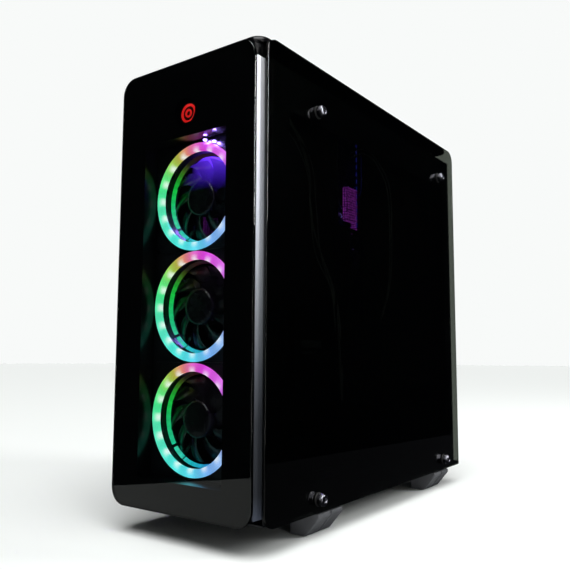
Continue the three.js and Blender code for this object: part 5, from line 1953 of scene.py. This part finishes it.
@dataclass
class Harness:
    """The braided main cable, the fan cable, and the thin wires and ties behind the tray."""

    main: tuple[tuple[float, float, float], ...] = (
        (40, 353.7, 69.8), (40, 342.5, 69.8), (52, 322.5, 69.8), (78, 295.5, 79.8), (86.5, 240.2, 112),
        (86.5, 190.2, 165), (86.5, 182.2, 235), (86.5, 203.2, 285), (79, 229.2, 312), (66, 240.2, 326),
        (52.5, 248.5, 326),
    )
    fans: tuple[tuple[float, float, float], ...] = (
        (84, 52.5, 436), (86, 90, 428), (88, 128, 402), (89, 152, 360), (88, 160, 320), (87, 166, 275),
        (86, 168, 225), (86, 172, 180), (86, 176, 140), (84, 182, 114), (74, 192, 106),
    )

    def build(self) -> None:
        """Makes the cables as smooth tubes, the plug, the ties and the wires."""
        path = smooth_path(self.main, 220)
        bundle = Surface()
        across, other = across_path(path)
        for k in range(6):
            turn = k * math.pi / 3 + np.linspace(0, 5.0, len(path))[:, None]
            bundle.tube(path + 2.7 * (np.cos(turn) * across + np.sin(turn) * other), 1.65, 8)
        bundle.tube(path, 1.6, 8)
        bundle.piece("main_power_bundle", Finish.SLEEVE, "cable_sleeve", ["main_power_cable"])
        fan = Surface().tube(smooth_path(self.fans, 160), 1.6, 12)
        fan.piece("fan_cable_sleeve", Finish.SLEEVE, "cable_sleeve", ["fan_cable"])
        plug = Surface().box(50.4, 58.0, 246.4, 262.6, 301.0, 351.0)
        for k in range(12):
            plug.box(58.0, 60.0, 247.6, 261.4, 302.0 + k * 4.1, 305.0 + k * 4.1)
        plug.piece("main_power_plug", Finish.SHELL, "cable_sleeve", ease=0.4)
        wires = Surface()
        starts = ((84, 64, 448), (85, 60, 440), (84, 70, 454), (86, 75, 446))
        for k, (x, y, z) in enumerate(starts):
            knots = [(x, y, z), (x + 2.5, y + 28 - 3 * k, z - 14 - 4 * k),
                     (x + 3.5, y + 52 - 6 * k, z - 44 - 5 * k),
                     (x + 2, y + 62 - 9 * k, z - 86), (x + 1.5, y + 72 - 8 * k, z - 140 + 6 * k),
                     (86, 160 + 2.5 * k, 262.0), (85.5 + 0.5 * k, 170 + 3 * k, 200.0),
                     (85, 178 + 2 * k, 140.0)]
            wires.tube(smooth_path(knots, 90), 0.75, 8)
        for y, z in ((300.0, 446.0), (306.0, 452.0)):
            knots = [(86, 205, z - 8), (87, 235, z + 4), (86, 270, z), (87, y, z - 30), (86, y + 8, z - 90),
                     (86, y + 2, z - 160), (85, y - 20, z - 210)]
            wires.tube(smooth_path(knots, 90), 0.8, 8)
        wires.piece("thin_wires", Finish.WIRE, "cable_sleeve")
        ties = Surface()
        for k in (96, 116, 140):
            centre = path[k]
            ring = [(5.3, -1.3), (5.9, -1.3), (5.9, 1.3), (5.3, 1.3)]
            loop = Surface().turned(ring, (0, 0, 0), Axis.Z, 32)
            ties.add(loop.points[0] + centre, loop.faces)
            x, y, z = centre
            ties.box(x + 4.8, x + 7.4, y - 2.2, y + 2.2, z - 1.7, z + 1.7)
        ties.piece("cable_ties", Finish.RUBBER, "cable_sleeve")


@dataclass
class Lamps:
    """The coloured lamps: two lenses over the top fan, a blue strip by the tray and a violet one above."""

    def build(self) -> None:
        """Makes the lenses, their holders and the strips."""
        lens, holder = Surface(), Surface()
        for x, y, z in ((15.0, 21.0, 423.4), (28.0, 21.4, 419.6)):
            lens.turned([(0, -1.0), (1.4, -0.8), (1.9, -0.2), (1.9, 0.6), (0, 0.6)], (x, y, z), Axis.Z, 24)
            holder.turned([(0, 0.7), (2.6, 0.7), (2.8, 1.2), (2.8, 2.2), (0, 2.2)], (x, y, z), Axis.Z, 24)
        lens.piece("lamp_lenses", Finish.LENS, "badge_plastic")
        holder.piece("lamp_holders", Finish.SHELL, "case_plastic")
        turn = np.radians(np.linspace(-75, 60, 60))
        section = [(21.5, 52.0), (55.0, 52.0), (55.4, 52.4), (55.0, 53.4), (21.5, 53.4)]
        rays = [np.column_stack([np.full(5, math.sin(t)), np.ones(5), np.full(5, math.cos(t))]) for t in turn]
        flat = np.array([[radius, y, radius] for radius, y in section])
        guide = Surface().loft(np.stack([ray * flat for ray in rays]) + (0.0, 0.0, FAN_HEIGHTS["upper"]))
        guide.piece("top_fan_light_guide", Finish.GUIDE, "badge_plastic")
        strip, bars = Surface(), Surface()
        for k in range(12):
            z = 356.0 + k * 9.6
            strip.box(73.6, 75.6, 238.4, 242.4, z, z + 5.6)
        bars.box(75.4, 76.6, 238.0, 243.0, 354.0, 472.0)
        strip.piece("blue_lamp_strip", Finish.BLUE, "badge_plastic", ease=0.4)
        top = Surface()
        for k in range(30):
            y = 78.0 + k * 12
            top.box(-70.0, -63.0, y, y + 9.0, 493.0, 495.0)
        bars.box(-71.4, -61.6, 74.0, 440.0, 494.8, 496.6)
        bars.box(-61.6, -60.6, 74.0, 440.0, 487.0, 496.6)
        top.piece("violet_lamp_strip", Finish.VIOLET, "badge_plastic", ease=0.4)
        bars.piece("lamp_strip_bars", Finish.SHELL, "case_plastic", ease=0.2)
        cover = Surface().loft(slab_loops((216.0, 249.6, 362.0, 405.0), (1.6,) * 4, eased(67.0, 74.0, 0.6),
                                          Axis.X))
        cover.piece("lit_cable_cover", Finish.MEMORY_LIGHT, "badge_plastic")
        path = smooth_path([(79.4, 236.0, 396.0), (79.6, 240.6, 406.0), (79.6, 241.4, 430.0),
                            (79.4, 241.2, 446.0),
                            (79.2, 237.0, 456.0)], 60)
        fibre = Surface().tube(path, 0.7, 10)
        fibre.piece("blue_light_fibre", Finish.BLUE_FIBRE, "badge_plastic")


@dataclass
class Back:
    """Screws and trim at the back: slot screws, fan screws, the supply's screws and its inlet."""

    def build(self) -> None:
        """Makes the screws, the slot screws' row and the inlet's frame."""
        screws = Surface()
        shank = [(0, -1.5), (1.6, -1.5), (1.6, 0.05)]
        head = shank + [(3.1, 0.05), (3.2, 0.7), (2.5, 1.5), (1.2, 1.75), (0.9, 1.2), (0, 1.2)]
        spots = [(-31.5 + a * 52.5, 418.0 + b * 52.5) for a in (-1, 1) for b in (-1, 1)]
        spots += [(-69.0, 36.0), (71.0, 36.0), (-69.0, 111.0), (71.0, 105.0)]
        for x, z in spots:
            screws.turned(head, (x, 497.1, z), Axis.Y, 32)
        for k in range(7):
            screws.turned([(0, -1), (4.4, 0.05), (4.6, 0.6), (4.6, 2.6), (4.0, 3.2), (1.4, 3.3), (1.0, 2.6),
                           (0, 2.6)],
                          (71.0, 497.0, 290.0 - k * SLOT_PITCH), Axis.Y, 48, 0.03, 20)
        screws.piece("rear_screws", Finish.NICKEL, "screw_metal")
        trim = Surface()
        for x, z, a, b in ((-50.0, 92.0, 13.0, 10.0), (-14.0, 92.0, 6.8, 9.8)):
            for x0, x1, z0, z1 in ((x - a - 1.6, x - a, z - b - 1.6, z + b + 1.6),
                                   (x + a, x + a + 1.6, z - b - 1.6, z + b + 1.6),
                                   (x - a, x + a, z - b - 1.6, z - b), (x - a, x + a, z + b, z + b + 1.6)):
                trim.box(x0, x1, 494.6, 496.2, z0, z1)
        trim.piece("supply_trim", Finish.GLOSS, "supply_case", ease=0.3)
        pins = Surface()
        for x, z in ((-56.0, 92.5), (-50.0, 95.0), (-44.0, 92.5)):
            pins.box(x - 0.9, x + 0.9, 480.0, 491.4, z - 3.6, z + 3.6)
        pins.piece("inlet_pins", Finish.NICKEL, "supply_case", ease=0.4)


@dataclass
class Filters:
    """The woven sheets of the two dust filters, under their frames' slots."""

    def build(self) -> None:
        """Makes both sheets."""
        top = Surface().loft(slab_loops((-56.0, 56.0, 107.0, 433.0), (3.0,) * 4, [(515.9, 0.0), (516.3, 0.0)],
                                        Axis.Z))
        top.piece("lid_filter_mesh", Finish.MESH, "filter_mesh", body="lid_filter")
        low = Surface().loft(slab_loops((-56.0, 56.0, 345.0, 490.0), (2.0,) * 4, [(26.4, 0.0), (26.8, 0.0)],
                                        Axis.Z))
        low.piece("bottom_filter_mesh", Finish.MESH, "filter_mesh", body="bottom_filter")


# ---- Studio ----


@dataclass
class Studio:
    """A plain pale floor and backdrop, soft lights and the camera."""

    eye: tuple[float, float, float] = (0.4901, -0.73695, 0.1936)
    azimuth: float = 36.02
    pitch: float = 6.02
    roll: float = 0.24
    lens: float = 41.34

    def camera(self) -> None:
        """Places the camera."""
        data = bpy.data.cameras.new("camera")
        data.lens = self.lens
        data.sensor_width = 36.0
        data.clip_start, data.clip_end = 0.01, 100.0
        camera = linked("camera", data)
        camera.location = self.eye
        turn = Euler((math.radians(90 + self.pitch), 0.0, math.radians(self.azimuth)), "XYZ").to_matrix()
        roll = Euler((0.0, 0.0, math.radians(self.roll)), "XYZ").to_matrix()
        camera.rotation_euler = (turn @ roll).to_euler("XYZ")
        bpy.context.scene.camera = camera

    def plain(self, name: str, colour: str, glow: float = 0.0) -> Material:
        """A matt stage material.

        Args:
            name: its name.
            colour: its colour.
            glow: how much light it gives off by itself.

        Returns:
            The material.
        """
        g = Graph(name)
        g.set(g.shader, {
            "Base Color": srgb("#000000" if glow else colour), "Roughness": 0.9, "Specular IOR Level": 0.0,
            "Emission Color": srgb(colour), "Emission Strength": glow,
        })
        return g.material

    def card(
        self, name: str, corners: Sequence[Sequence[float]], material: Material, seen_by: Sequence[str]
    ) -> None:
        """A flat card of the stage.

        Args:
            name: its name.
            corners: in metres, anticlockwise.
            material: its finish.
            seen_by: the kinds of ray that meet it, out of camera, diffuse, glossy, transmission, shadow.
        """
        mesh = bpy.data.meshes.new(name)
        mesh.from_pydata([tuple(corner) for corner in corners], [], [list(range(len(corners)))])
        mesh.materials.append(material)
        piece = linked(name, mesh)
        for kind in ("camera", "diffuse", "glossy", "transmission", "shadow"):
            setattr(piece, f"visible_{kind}", kind in seen_by)

    def floor(self) -> None:
        """Makes the floor, and the two parts of it that are near enough to show in the glass."""
        far = 14.0
        ring = [(-far, -far, 0), (far, -far, 0), (far, far, 0), (-far, far, 0)]
        self.card("floor", ring, self.plain("pale_floor", "#eef1ef"), ("camera", "diffuse"))
        front = [(-0.1708, -0.5703, 0.001), (0.4, -1.331, 0.001), (0.4, -0.24, 0.001), (-0.5, -0.24, 0.001),
                 (-0.279, -0.4251, 0.001)]
        mirrored = ("glossy", "transmission")
        self.card("floor_before_front", front, self.plain("reflected_floor", "#7c7d7c", 1.0), mirrored)
        side = [(0.09, -0.26, 0.001), (0.5, -0.26, 0.001), (0.427, 0.198, 0.001), (0.34, 0.81, 0.001),
                (0.2, 1.6, 0.001), (0.09, 0.6, 0.001)]
        self.card("floor_beside", side, self.plain("reflected_dim_floor", "#222326", 1.0), mirrored)

    def backdrop(self) -> None:
        """Makes the pale backdrop all round, and the dark card beside the left panel."""
        surface = Surface()
        turn = np.linspace(0, np.pi, 17)
        profile = [(12000 * math.sin(t), -12000 * math.cos(t)) for t in turn]
        profile[0], profile[-1] = (0, -12000), (0, 12000)
        surface.turned(profile, (0, HALF_DEPTH, 0), Axis.Z, 48)
        dome = surface.build("backdrop", self.plain("pale_backdrop", "#f8faf9", 1.0))
        dome.visible_diffuse = dome.visible_glossy = dome.visible_shadow = dome.visible_transmission = False
        behind = [(-0.28, 0.45, 0.0), (0.06, 0.45, 0.0), (0.06, 0.45, 0.66), (-0.28, 0.45, 0.66)]
        self.card("pale_card", behind, self.plain("pale_card", "#f4f7f4", 1.0), ("transmission",))
        dark = [(-0.17, 0.34, 0.0), (-0.17, -0.3, 0.0), (-0.17, -0.3, 0.7), (-0.17, 0.34, 0.7)]
        self.card("dark_card", dark, self.plain("black_card", "#060606"), ("transmission",))

    def area(
        self, name: str, place: Sequence[float], aim: Sequence[float], size: tuple[float, float], power: float
    ) -> None:
        """Adds one soft box.

        Args:
            name: its name.
            place: where it stands, in metres.
            aim: the point it faces.
            size: its width and height.
            power: in watts.
        """
        data = bpy.data.lights.new(name, "AREA")
        data.shape = "RECTANGLE"
        data.size, data.size_y = size
        data.energy = power
        light = linked(name, data)
        light.location = place
        way = np.subtract(aim, place)
        way = way / np.linalg.norm(way)
        flat = math.hypot(way[0], way[1])
        light.rotation_euler = (math.atan2(flat, -way[2]), 0.0, math.atan2(-way[0], way[1]))

    def lights(self) -> None:
        """Adds the sky-wide top light, the tall box by the camera and the dim surroundings."""
        sun = bpy.data.lights.new("top_light", "SUN")
        sun.energy = 3.4
        sun.angle = math.radians(50)
        top = linked("top_light", sun)
        top.rotation_euler = (math.radians(18), math.radians(14), 0.0)
        self.area("tall_box", (1.25, -0.85, 0.5), (0.1, -0.2, 0.3), (0.35, 1.3), 4.5)
        self.area("rear_box", (1.9, 1.1, 1.25), (0.1, -0.2, 0.35), (0.7, 0.9), 30.0)
        world = bpy.data.worlds.new("surroundings")
        world.use_nodes = True
        background = world.node_tree.nodes["Background"]
        background.inputs["Color"].default_value = srgb("#20242a")
        background.inputs["Strength"].default_value = 0.15
        bpy.context.scene.world = world
        bpy.context.scene.view_settings.view_transform = "Standard"

    def build(self) -> None:
        """Builds the whole stage."""
        self.camera()
        self.floor()
        self.backdrop()
        self.lights()


# ---- Dressing of the carried-over solids ----


def dress(nodes: dict[str, Object]) -> None:
    """Gives every solid that is still shown its finish.

    Args:
        nodes: the carried-over solids.
    """
    steel, plastic = ("case_steel", Finish.STEEL), ("case_plastic", Finish.GLOSS)
    eased = {
        "front_bezel": plastic, "port_block": ("case_plastic", Finish.SHELL),
        "chassis_floor": steel, "chassis_roof": steel, "front_fan_wall": steel, "rear_panel": steel,
        "motherboard_tray": steel, "supply_shroud": steel, "side_frame_right": steel,
        "side_frame_left": steel,
        "drive_cage": steel, "power_supply": ("supply_case", Finish.STEEL),
        "lid_filter": ("filter_mesh", Finish.SHELL), "bottom_filter": ("filter_mesh", Finish.SHELL),
        "supply_switch": ("case_plastic", Finish.GLOSS),
    }
    own_body = ("lid_filter", "bottom_filter", "supply_switch")
    for name, node in nodes.items():
        node.data.materials.clear()
        node.data.materials.append(Finish.STEEL.material())
    for name, (slot, finish) in eased.items():
        eased_copy(nodes[name], finish, name if name in own_body else CASE, 0.35)


def main() -> None:
    """Builds the tower's looks in order."""
    logging.basicConfig(level=logging.INFO, format="%(name)s: %(message)s")
    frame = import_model()
    dress(frame["nodes"])
    FrontGlass().build()
    for side in Side:
        CornerStrip(side).build()
        SidePanel(side).build()
        Foot("front", side, front=109.0).build()
        Foot("rear", side, front=411.0).build()
    Badge().build()
    for label, z in FAN_HEIGHTS.items():
        FrontFan(label, z).build()
    Lid().build(frame["nodes"]["lid"])
    PlainFan("processor_fan", x=-31.5, z=392.0, front=352.9, middle=10.5, struts_at_rear=True).build()
    PlainFan("rear_fan", x=-31.5, z=418.0, front=470.2, middle=14.5, struts_at_rear=False).build()
    for part in (Board(), Memory(), TowerCooler(), GraphicsCard(), Drives(), Harness(), Lamps(), Back(),
                 Filters()):
        part.build()
    Studio().build()
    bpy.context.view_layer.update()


if __name__ == "__main__":
    main()
